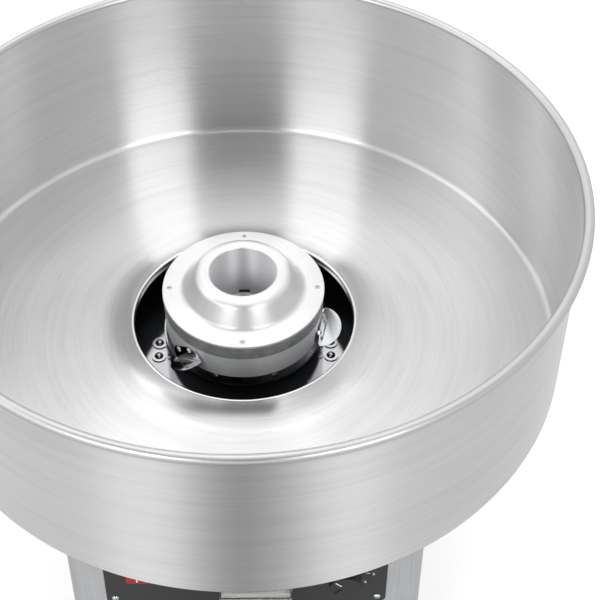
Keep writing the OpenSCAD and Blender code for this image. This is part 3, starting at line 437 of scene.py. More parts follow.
# Aluminium turned with a fine feed and not polished: nearly white, with soft highlights.
SATIN_ALUMINIUM = Finish(
    "satin_turned_aluminium", "#ECECED", "#E0E1E2", metallic=1.0, roughness=0.4, spread=0.04,
    grain=Grain.RINGS, mark_mm=0.5, patch_mm=25, bump=4, stretch=40, anisotropic=0.5,
)
# Aluminium left by a boring tool: blurred bands of light run up and down the mouth.
BORED_ALUMINIUM = Finish(
    "bored_aluminium", "#F4F4F5", "#ECECEE", metallic=1.0, roughness=0.6, spread=0.03,
    grain=Grain.RINGS, mark_mm=0.5, patch_mm=25, bump=3, stretch=60, anisotropic=0.85,
)
# Aluminium turned all over: an even grey sheen that darkens towards the dish's foot.
TURNED_ALUMINIUM = Finish(
    "fine_turned_aluminium", "#E6E7E8", "#D4D5D7", metallic=1.0, roughness=0.45, spread=0.05,
    grain=Grain.RINGS, mark_mm=0.5, patch_mm=20, bump=4, stretch=30, anisotropic=0.9,
)
# Casting turned with a coarse feed: short light and dark scratches, drawn coarser than real.
CAST_BAND = Finish(
    "rough_turned_casting", "#B9BABC", "#77797B", metallic=1.0, roughness=0.45, spread=0.12,
    grain=Grain.RINGS, mark_mm=1.1, patch_mm=9, bump=22, stretch=5, anisotropic=0.75,
)
# Zinc-plated steel of screws and washers, and as bright as the rivets: small sharp highlights.
BRIGHT_STEEL = Finish(
    "bright_zinc_steel", "#D2D3D5", "#B4B5B8", metallic=1.0, roughness=0.2, spread=0.05,
    mark_mm=0.6, patch_mm=6, bump=4,
)
# Bright rolled strip: a near mirror, so each flat of a vane is light or dark all over.
VANE_STEEL = Finish(
    "bright_rolled_steel", "#E3E4E5", "#D2D3D5", metallic=1.0, roughness=0.06, spread=0.02,
    mark_mm=0.9, patch_mm=14, bump=1,
)
# Moulded rubber: black, with a wide dull sheen and a fine pebble, drawn coarser.
RUBBER = Finish("moulded_rubber", "#1A1A1B", "#242425", roughness=0.75, mark_mm=0.8, patch_mm=15, bump=30)
# ABS from a grained mould: the grain, drawn coarser, breaks up its highlights.
BLACK_PLASTIC = Finish(
    "grained_abs", "#151516", "#1E1E20", roughness=0.45, mark_mm=0.5, patch_mm=18, bump=18,
)
# Powder coat on a plate: near black, with the faint waves of melted powder.
PANEL_PAINT = Finish(
    "powder_coated_plate", "#1B1C1E", "#232427", roughness=0.5, mark_mm=0.9, patch_mm=30, bump=25,
)
# Polycarbonate moulding with a glossy skin: deep colour under a clear highlight.
RED_PLASTIC = Finish(
    "glossy_red_moulding", "#A51C1A", "#8E1615", roughness=0.25, mark_mm=1.0, patch_mm=10, bump=4, coat=0.4,
)
# The same moulding in green.
GREEN_PLASTIC = Finish(
    "glossy_green_moulding", "#1E7F3C", "#186A31", roughness=0.25, mark_mm=1.0, patch_mm=10, bump=4, coat=0.4,
)
# Painted dial plate: flat, warm white.
DIAL_CARD = Finish("matt_white_dial", "#EFEEE8", "#E6E4DC", roughness=0.6, mark_mm=1.0, patch_mm=20, bump=4)
# Clear acrylic: only its reflections show.
CLEAR_ACRYLIC = Finish(
    "clear_acrylic", "#FFFFFF", "#F6FAFA", roughness=0.04, spread=0.02, bump=1, transmission=1.0,
)
# Turned brass: warm yellow, with rings worn by the brushes.
BRASS = Finish(
    "turned_brass", "#C9A24E", "#A8843A", metallic=1.0, roughness=0.25, grain=Grain.RINGS,
    mark_mm=0.4, patch_mm=12, bump=6,
)
# Drawn copper wire: reddish, and patchy where it has oxidised.
COPPER = Finish(
    "drawn_copper", "#B66A3C", "#8E4E2A", metallic=1.0, roughness=0.3, mark_mm=0.6, patch_mm=8, bump=5,
)
# Glazed steatite: creamy white under a thin clear glaze.
CERAMIC = Finish(
    "glazed_ceramic", "#EFEBE2", "#E2DCCF", roughness=0.25, mark_mm=1.0, patch_mm=6, bump=8, coat=0.5,
)
# Steel tube that has been red hot: brown to violet, with little shine.
HOT_SHEATH = Finish(
    "heat_tinted_sheath", "#6B5A50", "#3F3A40", metallic=1.0, roughness=0.4, mark_mm=0.8, patch_mm=9, bump=10,
)
# Phenolic resin with filler: dark brown, and slightly mottled.
PHENOLIC = Finish("phenolic_moulding", "#4A2A1A", "#371E12", roughness=0.45, mark_mm=0.7, patch_mm=8, bump=15)
# Die casting under dark paint: a softened, uneven skin.
CASTING = Finish("painted_casting", "#33363A", "#2A2C30", roughness=0.5, mark_mm=1.4, patch_mm=20, bump=50)
# Stack of punched steel sheets, lined at every sheet, drawn coarser than 0.5 mm sheets are.
LAMINATIONS = Finish(
    "stacked_laminations", "#6C6F72", "#4E5154", metallic=1.0, roughness=0.45, grain=Grain.ACROSS,
    mark_mm=0.6, patch_mm=20, bump=20,
)
# Steel bar turned to size: mid grey, with a plain shine.
TURNED_STEEL = Finish(
    "turned_steel", "#A9ABAE", "#8D8F93", metallic=1.0, roughness=0.3, mark_mm=0.5, patch_mm=15, bump=8,
)
# Pressed carbon: black and powdery.
CARBON = Finish("pressed_carbon", "#1C1C1E", "#28282B", roughness=0.6, mark_mm=0.4, patch_mm=5, bump=12)
# Pad-printed inks: thin, flat and slightly uneven films.
WHITE_INK = Finish("white_pad_print", "#ECECEA", "#DEDEDB", roughness=0.5, mark_mm=0.4, patch_mm=6, bump=4)
BLACK_INK = Finish("black_pad_print", "#1A1A1C", "#242427", roughness=0.5, mark_mm=0.4, patch_mm=6, bump=4)

FINISH_OF_SLOT: dict[str, Finish] = {
    "bowl_steel": SPUN_STEEL,
    "case_steel": SHEET_STEEL,
    "black_rubber": RUBBER,
    "cast_aluminium": SATIN_ALUMINIUM,
    "turned_aluminium": TURNED_ALUMINIUM,
    "bright_screws": BRIGHT_STEEL,
    "vane_steel": VANE_STEEL,
    "rivet_aluminium": BRIGHT_STEEL,
    "element_sheath": HOT_SHEATH,
    "white_ceramic": CERAMIC,
    "copper": COPPER,
    "turned_steel": TURNED_STEEL,
    "brown_phenolic": PHENOLIC,
    "ring_brass": BRASS,
    "stamped_core": LAMINATIONS,
    "dark_plastic": BLACK_PLASTIC,
    "motor_casting": CASTING,
    "carbon": CARBON,
    "panel_plastic": PANEL_PAINT,
    "red_plastic": RED_PLASTIC,
    "green_plastic": GREEN_PLASTIC,
    "dial_plastic": DIAL_CARD,
    "clear_window": CLEAR_ACRYLIC,
    "needle_plastic": RED_PLASTIC,
}

# Nodes whose surface was worked otherwise than the rest of their material, and the drum and locating ring,
# which carry a painted shade.
FINISH_OF_NODE: dict[str, Finish] = {
    "deck": MILL_STEEL,
    "deck_collar": MILL_STEEL,
    "bowl_seat_drum": DRUM_WITH_PAINTED_SHADE,
    "bowl_locating_ring": STEEL_WITH_PAINTED_SHADE,
    "head_band": CAST_BAND,
}


@dataclass
class Workshop:
    """Holds the materials, and dresses pieces in them."""

    made: dict[str, bpy.types.Material] = field(default_factory=dict)

    def material(self, finish: Finish) -> bpy.types.Material:
        """Make a finish's material, once.

        Args:
            finish: The finish.

        Returns:
            Its material.
        """
        if finish.name not in self.made:
            self.made[finish.name] = finish.build()
        return self.made[finish.name]

    def dress(self, piece: bpy.types.Object, *finishes: Finish) -> None:
        """Give a piece its materials; its faces wear the first until they are told otherwise.

        Args:
            piece: The piece.
            finishes: Its finishes, in the order of its material slots.
        """
        piece.data.materials.clear()
        for finish in finishes:
            piece.data.materials.append(self.material(finish))

    def dress_nodes(self) -> None:
        """Give every CAD node the finish of its material slot, or its own."""
        for part in frame["record"]["subparts"]:
            finish = FINISH_OF_NODE.get(part["node"], FINISH_OF_SLOT[part["material_slot"]])
            self.dress(frame["nodes"][part["node"]], finish)


# ---- Modelling helpers ---------------------------------------------------


Point = tuple[float, float]
# Angle past which an edge stays sharp, and the distance under which corners are one.
SHARP = 32.0
DOUBLE = 0.004


class Element(Enum):
    """What is selected in edit mode."""

    CORNERS = "VERT"
    EDGES = "EDGE"
    FACES = "FACE"


def arc(centre: Point, radius: float, start: float, stop: float, steps: int) -> list[Point]:
    """Points along an arc, both ends in, with angles in degrees."""
    turns = [math.radians(start + (stop - start) * i / steps) for i in range(steps + 1)]
    return [(centre[0] + radius * math.cos(t), centre[1] + radius * math.sin(t)) for t in turns]


def about_z(degrees: float) -> Matrix:
    """Turn about the upright axis."""
    return Matrix.Rotation(math.radians(degrees), 4, "Z")


def moved(x: float, y: float, z: float) -> Matrix:
    """Move by a distance in millimetres."""
    return Matrix.Translation(Vector((x, y, z)) * MM)


def keep_selected(piece: bpy.types.Object) -> None:
    """Deselect all else, and make the piece the active one.

    Args:
        piece: The object.
    """
    bpy.ops.object.select_all(action="DESELECT")
    piece.select_set(True)
    bpy.context.view_layer.objects.active = piece


def pick(piece: bpy.types.Object, test: Callable[[Vector], bool], part: Element = Element.CORNERS) -> None:
    """Select, in edit mode, the parts of a mesh whose place passes a test.

    Args:
        piece: The object in edit mode.
        test: Says of a place in millimetres whether it is wanted.
        part: What to select; an edge or face passes when all its corners do.
    """
    bpy.ops.mesh.select_mode(type=part.value)
    bpy.ops.mesh.select_all(action="DESELECT")
    bpy.ops.object.mode_set(mode="OBJECT")
    mesh = piece.data
    near = [test(v.co / MM) for v in mesh.vertices]
    if part is Element.CORNERS:
        for vert, yes in zip(mesh.vertices, near):
            vert.select = yes
    else:
        for item in mesh.edges if part is Element.EDGES else mesh.polygons:
            item.select = all(near[i] for i in item.vertices)
    bpy.ops.object.mode_set(mode="EDIT")


def tidy_mesh(piece: bpy.types.Object, angle: float = SHARP, near: float = DOUBLE) -> None:
    """Merge doubles, point the faces outwards and smooth all but the sharp edges.

    Args:
        piece: The object.
        angle: Edges that turn by more than this, in degrees, stay sharp.
        near: Corners closer than this, in millimetres, become one.
    """
    keep_selected(piece)
    bpy.ops.object.mode_set(mode="EDIT")
    bpy.ops.mesh.select_all(action="SELECT")
    bpy.ops.mesh.remove_doubles(threshold=near * MM)
    bpy.ops.mesh.normals_make_consistent(inside=False)
    bpy.ops.object.mode_set(mode="OBJECT")
    bpy.ops.object.shade_smooth_by_angle(angle=math.radians(angle))


def turned(name: str, profile: Sequence[Point], sides: int = 256) -> bpy.types.Object:
    """Turn a closed section about the spindle, as on a lathe.

    Args:
        name: Name of the piece.
        profile: Radius and height of each corner of the section, in order round it.
        sides: Number of faces in a full turn.

    Returns:
        The piece, whose mesh holds its place.
    """
    bpy.ops.object.select_all(action="DESELECT")
    radius, height = profile[0]
    bpy.ops.mesh.primitive_circle_add(vertices=sides, radius=radius * MM)
    made = bpy.context.object
    made.name = made.data.name = name
    bpy.ops.object.mode_set(mode="EDIT")
    bpy.ops.mesh.select_mode(type="EDGE")
    bpy.ops.mesh.select_all(action="SELECT")
    bpy.ops.transform.translate(value=(0, 0, height * MM))
    for (r_from, z_from), (r_to, z_to) in zip(profile, [*profile[1:], profile[0]]):
        grow = r_to / r_from
        bpy.ops.mesh.extrude_edges_move(TRANSFORM_OT_translate={"value": (0, 0, (z_to - z_from) * MM)})
        bpy.ops.transform.resize(value=(grow, grow, 1), center_override=(0, 0, 0))
    bpy.ops.object.mode_set(mode="OBJECT")
    tidy_mesh(made)
    return made


def apply_all(piece: bpy.types.Object) -> None:
    """Apply every modifier of a piece.

    Args:
        piece: The object.
    """
    keep_selected(piece)
    for modifier in list(piece.modifiers):
        bpy.ops.object.modifier_apply(modifier=modifier.name)


def settle(piece: bpy.types.Object, place: Matrix) -> None:
    """Put a piece at a place, and work that place into its mesh.

    Args:
        piece: The object.
        place: Where it goes, in metres.
    """
    piece.matrix_world = place
    keep_selected(piece)
    bpy.ops.object.transform_apply(location=True, rotation=True, scale=True)


def cut(piece: bpy.types.Object, tools: Sequence[bpy.types.Object]) -> None:
    """Cut closed tools out of a piece, and clear them away.

    Args:
        piece: The piece to cut.
        tools: Closed meshes.
    """
    for tool in tools:
        step = piece.modifiers.new("cut", "BOOLEAN")
        step.operation, step.solver, step.object = "DIFFERENCE", "EXACT", tool
        apply_all(piece)
        bpy.data.objects.remove(tool, do_unlink=True)


# Leeway, in millimetres, in telling faces by their place, and the normal's rise under which one looks down.
LEEWAY = 0.1
DOWNWARD = -0.3


def from_spindle(face: bpy.types.MeshPolygon) -> Point:
    """Distance of a face's middle from the spindle's axis, and its height, in millimetres."""
    return math.hypot(*face.center[:2]) / MM, face.center[2] / MM


def stands_for(piece: bpy.types.Object, body: str, slot: str, *nodes: str) -> None:
    """Ride a finished piece on its body, hide the CAD nodes whose place it takes, and log its faces.

    Args:
        piece: The piece.
        body: The body it rides on.
        slot: The record's material slot; not used.
        nodes: CAD nodes that it replaces.
    """
    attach(piece, body)
    if nodes:
        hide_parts(*nodes)
    LOG.info("%s: %d faces on %s", piece.name, len(piece.data.polygons), body)


# ---- Bowl ----------------------------------------------------------------


@dataclass
class Bowl:
    """Spun steel bowl: rolled bead, wall, corner, coned floor, hump and turned lip."""

    shop: Workshop
    wall_r: float = 252.0  # inside of the wall
    sheet: float = 1.0  # thickness
    bead_r: float = 4.0  # outer radius of the rolled bead's section
    bead_z: float = 489.0  # height of the bead's middle
    bead_end: float = -125.0  # angle at which the bead's curl ends
    bead_back: float = 178.0  # angle at which the curl's inner face starts
    floor_z: float = 333.0  # top of the floor at the wall
    corner_r: float = 5.0  # bend between floor and wall
    hole_r: float = 88.0  # opening
    hump_r: float = 128.0  # where the floor starts to rise to the opening
    cone_rise: float = 5.0  # rise of the floor from the wall to the opening
    cone_fall: float = 0.031  # that rise for each millimetre, rounded, as the floor's back follows it
    hump_rise: float = 14.0  # further rise of the hump
    lip_r: float = 1.6  # bend of the lip
    lip_run: float = 1.15  # from the lip's middle to where the floor meets its bend
    skirt: float = 4.0  # depth of the lip below its bend
    rings: int = 40  # rings of faces on the floor
    sides: int = 288  # faces round the bowl
    lip_steps: tuple[int, int] = (10, 6)  # faces across the lip's bend, outside and inside
    corner_steps: int = 10
    bead_steps: tuple[int, int] = (44, 40)  # faces across the bead, outside and inside
    lip_band: float = 2.4  # width of the burnished ring on the lip
    margin: float = 0.2  # how far the bead's finish reaches below the bead

    @property
    def floor_r(self) -> float:
        """Radius at which the floor meets the corner's bend."""
        return self.wall_r - self.corner_r

    def hump(self, radius: float) -> float:
        """How far up the hump a radius is, from 0 at its foot to 1 at the opening."""
        return max(0.0, (self.hump_r - radius) / (self.hump_r - self.hole_r))

    def height(self, radius: float) -> float:
        """Height of the floor's upper face."""
        cone = self.cone_rise * (self.floor_r - radius) / (self.floor_r - self.hole_r)
        return self.floor_z + cone + self.hump_rise * self.hump(radius) ** 3

    def slope(self, radius: float) -> float:
        """Fall of the floor's upper face for each millimetre outwards."""
        return self.cone_fall + 3 * self.hump_rise * self.hump(radius) ** 2 / (self.hump_r - self.hole_r)

    def section(self) -> list[Point]:
        """Draw the sheet's section, from the lip over the floor, wall and bead, and back below.

        Returns:
            Radius and height of each corner.
        """
        t = self.sheet
        lip_x = self.hole_r + self.lip_r
        turn = 90 - math.degrees(math.atan(self.slope(lip_x + self.lip_run)))
        start_r = lip_x + self.lip_r * math.cos(math.radians(turn))
        lip = (lip_x, self.height(start_r) - self.lip_r * math.sin(math.radians(turn)))
        floor_run = self.floor_r - start_r
        radii = [start_r + floor_run * (i / self.rings) ** 2 for i in range(self.rings + 1)]
        corner = (self.floor_r, self.floor_z + self.corner_r)
        bead = (self.wall_r + self.bead_r, self.bead_z)
        top = [(r, self.height(r)) for r in radii]
        under = [(r, z - t * math.hypot(1, self.slope(r))) for r, z in reversed(top)]
        foot_z = lip[1] - self.skirt
        return [
            (self.hole_r, foot_z),
            *arc(lip, self.lip_r, 180, turn, self.lip_steps[0]),
            *top[1:],
            *arc(corner, self.corner_r, -90, 0, self.corner_steps)[1:],
            *arc(bead, self.bead_r, 180, self.bead_end, self.bead_steps[0]),
            *arc(bead, self.bead_r - t, self.bead_end, self.bead_back, self.bead_steps[1]),
            *arc(corner, self.corner_r + t, 0, -90, self.corner_steps),
            *under[1:],
            *arc(lip, self.lip_r - t, turn, 180, self.lip_steps[1])[1:],
            (self.hole_r + t, foot_z),
        ]

    def build(self) -> None:
        """Turn the bowl, give its bead and lip their own finishes, and paint its underside dark as shade."""
        made = turned("spun_bowl", self.section(), self.sides)
        self.shop.dress(made, SPUN_STEEL, POLISHED_STEEL, STEEL_WITH_PAINTED_SHADE, BURNISHED_STEEL)
        wall, bead, underside, lip = range(4)
        bead_low = self.bead_z - self.bead_r - self.margin
        for face in made.data.polygons:
            radius, height = from_spindle(face)
            if height > bead_low and radius > self.wall_r - LEEWAY:
                face.material_index = bead
            elif radius < self.hole_r + self.lip_band:
                face.material_index = lip
            # faces that look down take the dark steel, a painted shade under the bowl
            elif face.normal.z < DOWNWARD:
                face.material_index = underside
            else:
                face.material_index = wall
        stands_for(made, "bowl_body", "bowl_steel", "bowl")


# ---- Head ----------------------------------------------------------------


@dataclass
class HeadCap:
    """Cap of the spinning head: flange, domed side, sugar mouth and its tube."""

    shop: Workshop
    flange_r: float = 64.0
    under_z: float = 379.3  # flange's underside
    flange_z: float = 381.5  # flange's upper face
    break_edge: float = 0.2  # chamfer under the flange's edge
    edge_r: float = 0.45  # round of the flange's upper edge
    mouth_z: float = 399.5  # top of the dome
    foot: Point = (50.9, 387.5)  # middle of the bend at the dome's foot
    foot_r: float = 6.0
    top: Point = (32.1, 391.5)  # middle of the bend at the dome's top
    top_r: float = 8.0
    top_inner: float = 33.6  # where the dome's hollow meets the tube's shoulder
    foot_inner: float = 46.9  # where the dome's hollow meets the underside
    crown: float = 7.0  # depth of the metal under the dome's top
    bore_r: float = 26.1
    mouth_r: float = 1.5  # round of the mouth's edge
    edge_steps: int = 4  # faces across the round of the flange's edge, and so on
    foot_steps: int = 14
    top_steps: int = 18
    mouth_steps: int = 8
    seat: float = 22.0  # depth of the bore above its narrower part
    step: float = 0.4  # how much narrower the bore is below
    step_run: float = 4.0  # height over which it narrows
    tube_foot: float = 347.8
    tube_r: float = 28.1
    screws_r: float = 58.5  # circle of the cap's screws
    screw_r: float = 1.27
    shank: float = 3.0  # depth of the shank's hole below the countersink
    sink_r: float = 2.5
    sink: float = 1.2
    sink_sides: int = 40
    over: float = 0.1  # how much larger a countersink is cut
    notch: Point = (9.0, 5.0)  # width and height of a notch at the tube's foot
    notch_cut: float = 6.0  # how far its cutter reaches through the tube

    def lean(self) -> float:
        """Find the angle of the dome's side, which meets both bends at a tangent.

        Returns:
            The angle above the level, in degrees.
        """
        run, rise = self.foot[0] - self.top[0], self.top[1] - self.foot[1]
        cross = math.asin((self.top_r + self.foot_r) / math.hypot(run, rise))
        return math.degrees(math.atan2(rise, run) + cross)

    def section(self) -> list[Point]:
        """Draw the section, from the flange's edge over the dome, down the bore and back.

        Returns:
            Radius and height of each corner.
        """
        lean = self.lean()
        edge = (self.flange_r - self.edge_r, self.flange_z - self.edge_r)
        mouth = (self.bore_r + self.mouth_r, self.mouth_z - self.mouth_r)
        seat_z = self.mouth_z - self.seat
        return [
            (self.flange_r - self.break_edge, self.under_z),
            (self.flange_r, self.under_z + self.break_edge),
            *arc(edge, self.edge_r, 0, 90, self.edge_steps),
            *arc(self.foot, self.foot_r, -90, -90 - lean, self.foot_steps),
            *arc(self.top, self.top_r, 90 - lean, 90, self.top_steps),
            *arc(mouth, self.mouth_r, 90, 180, self.mouth_steps),
            (self.bore_r, seat_z),
            (self.bore_r - self.step, seat_z - self.step_run),
            (self.bore_r - self.step, self.tube_foot),
            (self.tube_r, self.tube_foot),
            (self.tube_r, self.mouth_z - self.crown),
            (self.top_inner, self.mouth_z - self.crown),
            (self.foot_inner, self.under_z),
        ]

    def countersink(self) -> bpy.types.Object:
        """Shape the cutter of a countersink and its shank's hole.

        Returns:
            The cutter, with the middle of its cone at the origin.
        """
        bpy.ops.object.select_all(action="DESELECT")
        bpy.ops.mesh.primitive_cone_add(
            vertices=self.sink_sides, radius1=self.screw_r * MM,
            radius2=(self.sink_r + self.over) * MM, depth=(self.sink + self.over) * MM,
        )
        made = bpy.context.object
        # the shank's hole is drawn down from the cone's narrow end
        bpy.ops.object.mode_set(mode="EDIT")
        pick(made, lambda co: co.z < 0, Element.FACES)
        bpy.ops.mesh.extrude_region_move(TRANSFORM_OT_translate={"value": (0, 0, -self.shank * MM)})
        bpy.ops.object.mode_set(mode="OBJECT")
        return made

    def tools(self) -> list[bpy.types.Object]:
        """Shape the cutters for the four countersinks and the four notches at the tube's foot.

        Returns:
            The cutters, in their places.
        """
        made = []
        wide, high = self.notch
        for turn in range(0, 360, 90):
            sink = self.countersink()
            settle(sink, about_z(turn) @ moved(self.screws_r, 0, self.flange_z + (self.over - self.sink) / 2))
            bpy.ops.object.select_all(action="DESELECT")
            bpy.ops.mesh.primitive_cube_add(size=MM)
            slot = bpy.context.object
            shape = Matrix.Diagonal((self.notch_cut, wide, 2 * high, 1.0))
            settle(slot, about_z(turn) @ moved((self.bore_r + self.tube_r) / 2, 0, self.tube_foot) @ shape)
            made += [sink, slot]
        return made

    def build(self) -> None:
        """Turn the cap, cut it for its screws and dress its bore."""
        made = turned("domed_cap", self.section())
        cut(made, self.tools())
        tidy_mesh(made)
        self.shop.dress(made, SATIN_ALUMINIUM, BORED_ALUMINIUM)
        for face in made.data.polygons:
            radius, height = from_spindle(face)
            face.material_index = int(radius < self.bore_r + LEEWAY and height < self.mouth_z - self.mouth_r)
        stands_for(made, "spinner", "cast_aluminium", "head_cap")


@dataclass
class Vanes:
    """Three folded sheet vanes, each a half-round blade and the tab that is riveted on."""

    shop: Workshop
    blade_r: float = 16.0
    tab_share: float = 15 / 16  # size of the tab's outline against the blade's
    tab_h: float = 12.99  # height of the tab, with the sheet
    sheet: float = 1.0
    fold_r: float = 1.2  # bend of the fold
    edge_r: float = 0.18  # round of the cut edges
    side_r: float = 63.15  # from the spindle to the tab's back
    chord_z: float = 350.0  # height of the fold's middle
    pitch: float = 30.0  # lean of the fold, in degrees
    turn: float = -12.2  # direction of the first vane, anticlockwise from the right
    count: int = 3
    sides: int = 128  # corners of the full disc
    fold_steps: int = 5
    edge_steps: int = 2
    edge_turn: float = 50.0  # edges that turn by more than this, in degrees, are rounded
    smooth_turn: float = 40.0  # and those that still do by more than this stay sharp
    near: float = 0.01  # leeway in telling the fold's corners
    double: float = 0.03  # corners closer than this become one

    def sheet_vane(self) -> bpy.types.Object:
        """Cut, fold and thicken one vane, with its fold along X.

        Returns:
            The vane, in its own frame.
        """
        half = self.sheet / 2
        tip = (self.sheet - self.tab_h) / self.tab_share
        bpy.ops.object.select_all(action="DESELECT")
        bpy.ops.mesh.primitive_circle_add(vertices=self.sides, radius=self.blade_r * MM, fill_type="NGON")
        made = bpy.context.object
        bpy.ops.object.mode_set(mode="EDIT")
        bpy.ops.mesh.select_all(action="SELECT")
        bpy.ops.mesh.bisect(plane_co=(0, tip * MM, 0), plane_no=(0, 1, 0), clear_inner=True)
        bpy.ops.mesh.select_all(action="SELECT")
        bpy.ops.mesh.bisect(plane_co=(0, half * MM, 0), plane_no=(0, 1, 0))
        pick(made, lambda co: co.y < half - self.near)
        bpy.ops.transform.resize(value=(self.tab_share, self.tab_share, 1), center_override=(0, 0, 0))
        # the tab is folded up by a quarter turn about the chord
        pick(made, lambda co: co.y < half + self.near)
        bpy.ops.transform.rotate(value=math.radians(90), orient_axis="X", center_override=(0, half * MM, 0))
        pick(made, lambda co: max(abs(co.y - half), abs(co.z)) < self.near, Element.EDGES)
        bpy.ops.mesh.bevel(offset=self.fold_r * MM, segments=self.fold_steps)
        bpy.ops.mesh.select_all(action="SELECT")
        bpy.ops.transform.translate(value=(0, 0, -half * MM))
        bpy.ops.object.mode_set(mode="OBJECT")
        shell = made.modifiers.new("thickness", "SOLIDIFY")
        shell.thickness, shell.offset, shell.use_even_offset = self.sheet * MM, 0.0, True
        soft = made.modifiers.new("edges", "BEVEL")
        soft.width, soft.segments = self.edge_r * MM, self.edge_steps
        soft.limit_method, soft.angle_limit = "ANGLE", math.radians(self.edge_turn)
        apply_all(made)
        tidy_mesh(made, self.smooth_turn, self.double)
        return made

    def build(self) -> None:
        """Fold one vane, and set three round the head."""
        first = self.sheet_vane()
        self.shop.dress(first, VANE_STEEL)
        for i in range(self.count):
            made = first if i == self.count - 1 else first.copy()
            if made is not first:
                made.data = first.data.copy()
                bpy.context.scene.collection.objects.link(made)
            made.name = made.data.name = f"folded_vane_{i + 1}"
            way = about_z(self.turn - 90 + i * 360 / self.count) @ moved(0, self.side_r, self.chord_z)
            settle(made, way @ Matrix.Rotation(math.radians(self.pitch), 4, "Y"))
            stands_for(made, "spinner", "vane_steel", f"vane_{i + 1}")


# ---- Printed marks -------------------------------------------------------


@dataclass
class Marks:
    """Printed marks on the front panel: rocker signs, the meter's scale and the knob's scale."""

    shop: Workshop
    panel_y: float = -145.5  # panel's front face
    panel_z: float = 203.0  # panel's middle
    ink: float = 0.12  # thickness of the print, thicker than real so that it shows
    ink_turn: float = 30.0  # edges of the print that turn by more than this, in degrees, stay sharp
    corner_share: float = 0.2  # rounding of a bar's corners, as a share of its shorter side
    corner_steps: int = 2
    ring_sides: int = 72
    curve_steps: int = 4  # fineness of the curves in figures
    rockers: tuple[tuple[str, float], ...] = (("power", -88.0), ("heat", -52.0))
    rocker_pivot: float = -2.5  # pivot behind the panel's face
    rocker_rest: float = -8.0  # lean of a rocker that is off
    rocker_face: Point = (7.4, 4.0)  # a sign's middle along the rocker, and the face's height there
    rocker_rise: float = 0.1739  # rise of that face for each millimetre along it
    off_ring: Point = (2.7, 0.8)  # radius and width of the line
    on_bar: Point = (1.1, 5.2)  # width and height
    meter_x: float = 8.0
    meter_pivot: float = -14.0  # needle's pivot against the panel's middle
    dial_top: float = 3.0  # dial's face, out of the panel
    scale_r: float = 27.5
    scale_line: float = 0.5
    scale_span: float = 90.0
    minor_tick: Point = (0.3, 2.0)  # width and height
    major_tick: Point = (0.5, 4.0)
    ticks: int = 25
    ticks_per_number: int = 5
    volts_per_number: int = 50
    volts_reach: float = 7.4  # numbers' distance out of the scale
    volts_swing: Point = (18.0, 0.93)  # degrees from one to the next, and how far they draw in
    volts_drop: float = 0.4
    volts_size: float = 3.9
    unit_size: float = 6.0
    unit_up: float = 15.0
    knob_x: float = 80.0
    knob_top: float = 18.0
    knob_scale_r: float = 18.6
    knob_start: float = 135.0
    knob_sweep: float = 270.0
    knob_tick: Point = (0.7, 3.0)
    knob_steps: int = 9
    knob_reach: float = 6.2
    knob_size: float = 4.6
    pointer: Point = (1.0, 7.0)
    pointer_out: float = 7.6

    def on_panel(self, across: float, up: float = 0.0, out: float = 0.0) -> Matrix:
        """Place of a point of the panel, with X to the right, Y up and Z out of it."""
        upright = Matrix.Rotation(math.radians(90), 4, "X")
        return moved(across, self.panel_y - out, self.panel_z + up) @ upright

    def bar(self, size: Point, out: float = 0.0, turn: float = 0.0) -> bpy.types.Object:
        """Cut a flat bar with rounded corners.

        Args:
            size: Its width and height.
            out: How far its middle is above its frame's origin.
            turn: How far it is then turned about that origin, in degrees.

        Returns:
            The bar.
        """
        wide, tall = size
        bpy.ops.object.select_all(action="DESELECT")
        bpy.ops.mesh.primitive_plane_add(size=MM)
        made = bpy.context.object
        settle(made, Matrix.Diagonal((wide, tall, 1, 1)))
        bpy.ops.object.mode_set(mode="EDIT")
        bpy.ops.mesh.select_all(action="SELECT")
        corner = self.corner_share * min(wide, tall) * MM
        bpy.ops.mesh.bevel(offset=corner, segments=self.corner_steps, affect="VERTICES")
        bpy.ops.object.mode_set(mode="OBJECT")
        settle(made, about_z(turn) @ moved(0, out, 0))
        return made

    def ring(self, outer: float, wide: float) -> bpy.types.Object:
        """Cut a flat ring about its own frame's origin.

        Args:
            outer: Its outer radius.
            wide: Width of its line.

        Returns:
            The ring.
        """
        bpy.ops.object.select_all(action="DESELECT")
        bpy.ops.mesh.primitive_circle_add(vertices=self.ring_sides, radius=outer * MM, fill_type="NGON")
        made = bpy.context.object
        bpy.ops.object.mode_set(mode="EDIT")
        bpy.ops.mesh.select_mode(type="FACE")
        bpy.ops.mesh.select_all(action="SELECT")
        bpy.ops.mesh.inset(thickness=wide * MM)
        bpy.ops.mesh.delete(type="FACE")
        bpy.ops.object.mode_set(mode="OBJECT")
        return made

    def figure(self, words: str, size: float, centre: Point) -> bpy.types.Object:
        """Set a number or a unit in plain type.

        Args:
            words: What it says.
            size: Height of the type.
            centre: Its middle.

        Returns:
            The type, as a flat mesh.
        """
        bpy.ops.object.select_all(action="DESELECT")
        bpy.ops.object.text_add()
        made = bpy.context.object
        made.data.body, made.data.size = words, size * MM
        made.data.resolution_u = self.curve_steps
        made.data.align_x, made.data.align_y = "CENTER", "CENTER"
        bpy.ops.object.convert(target="MESH")
        made = bpy.context.object
        settle(made, moved(*centre, 0))
        return made

    def print_on(self, name: str, flats: list[bpy.types.Object], place: Matrix, finish: Finish,
                 body: str, slot: str) -> None:
        """Join flat marks, give them the ink's thickness and set them on a face.

        Args:
            name: Name of the piece.
            flats: Flat meshes in the frame of the face.
            place: The frame of the face.
            finish: The ink.
            body: Body that the face rides on.
            slot: Material slot of the record.
        """
        keep_selected(flats[0])
        for flat in flats:
            flat.select_set(True)
        if len(flats) > 1:
            bpy.ops.object.join()
        made = flats[0]
        made.name = made.data.name = name
        made.data.materials.clear()
        tidy_mesh(made)
        film = made.modifiers.new("ink", "SOLIDIFY")
        film.thickness, film.offset = self.ink * MM, 0.0
        apply_all(made)
        settle(made, place)
        tidy_mesh(made, self.ink_turn)
        self.shop.dress(made, finish)
        stands_for(made, body, slot)

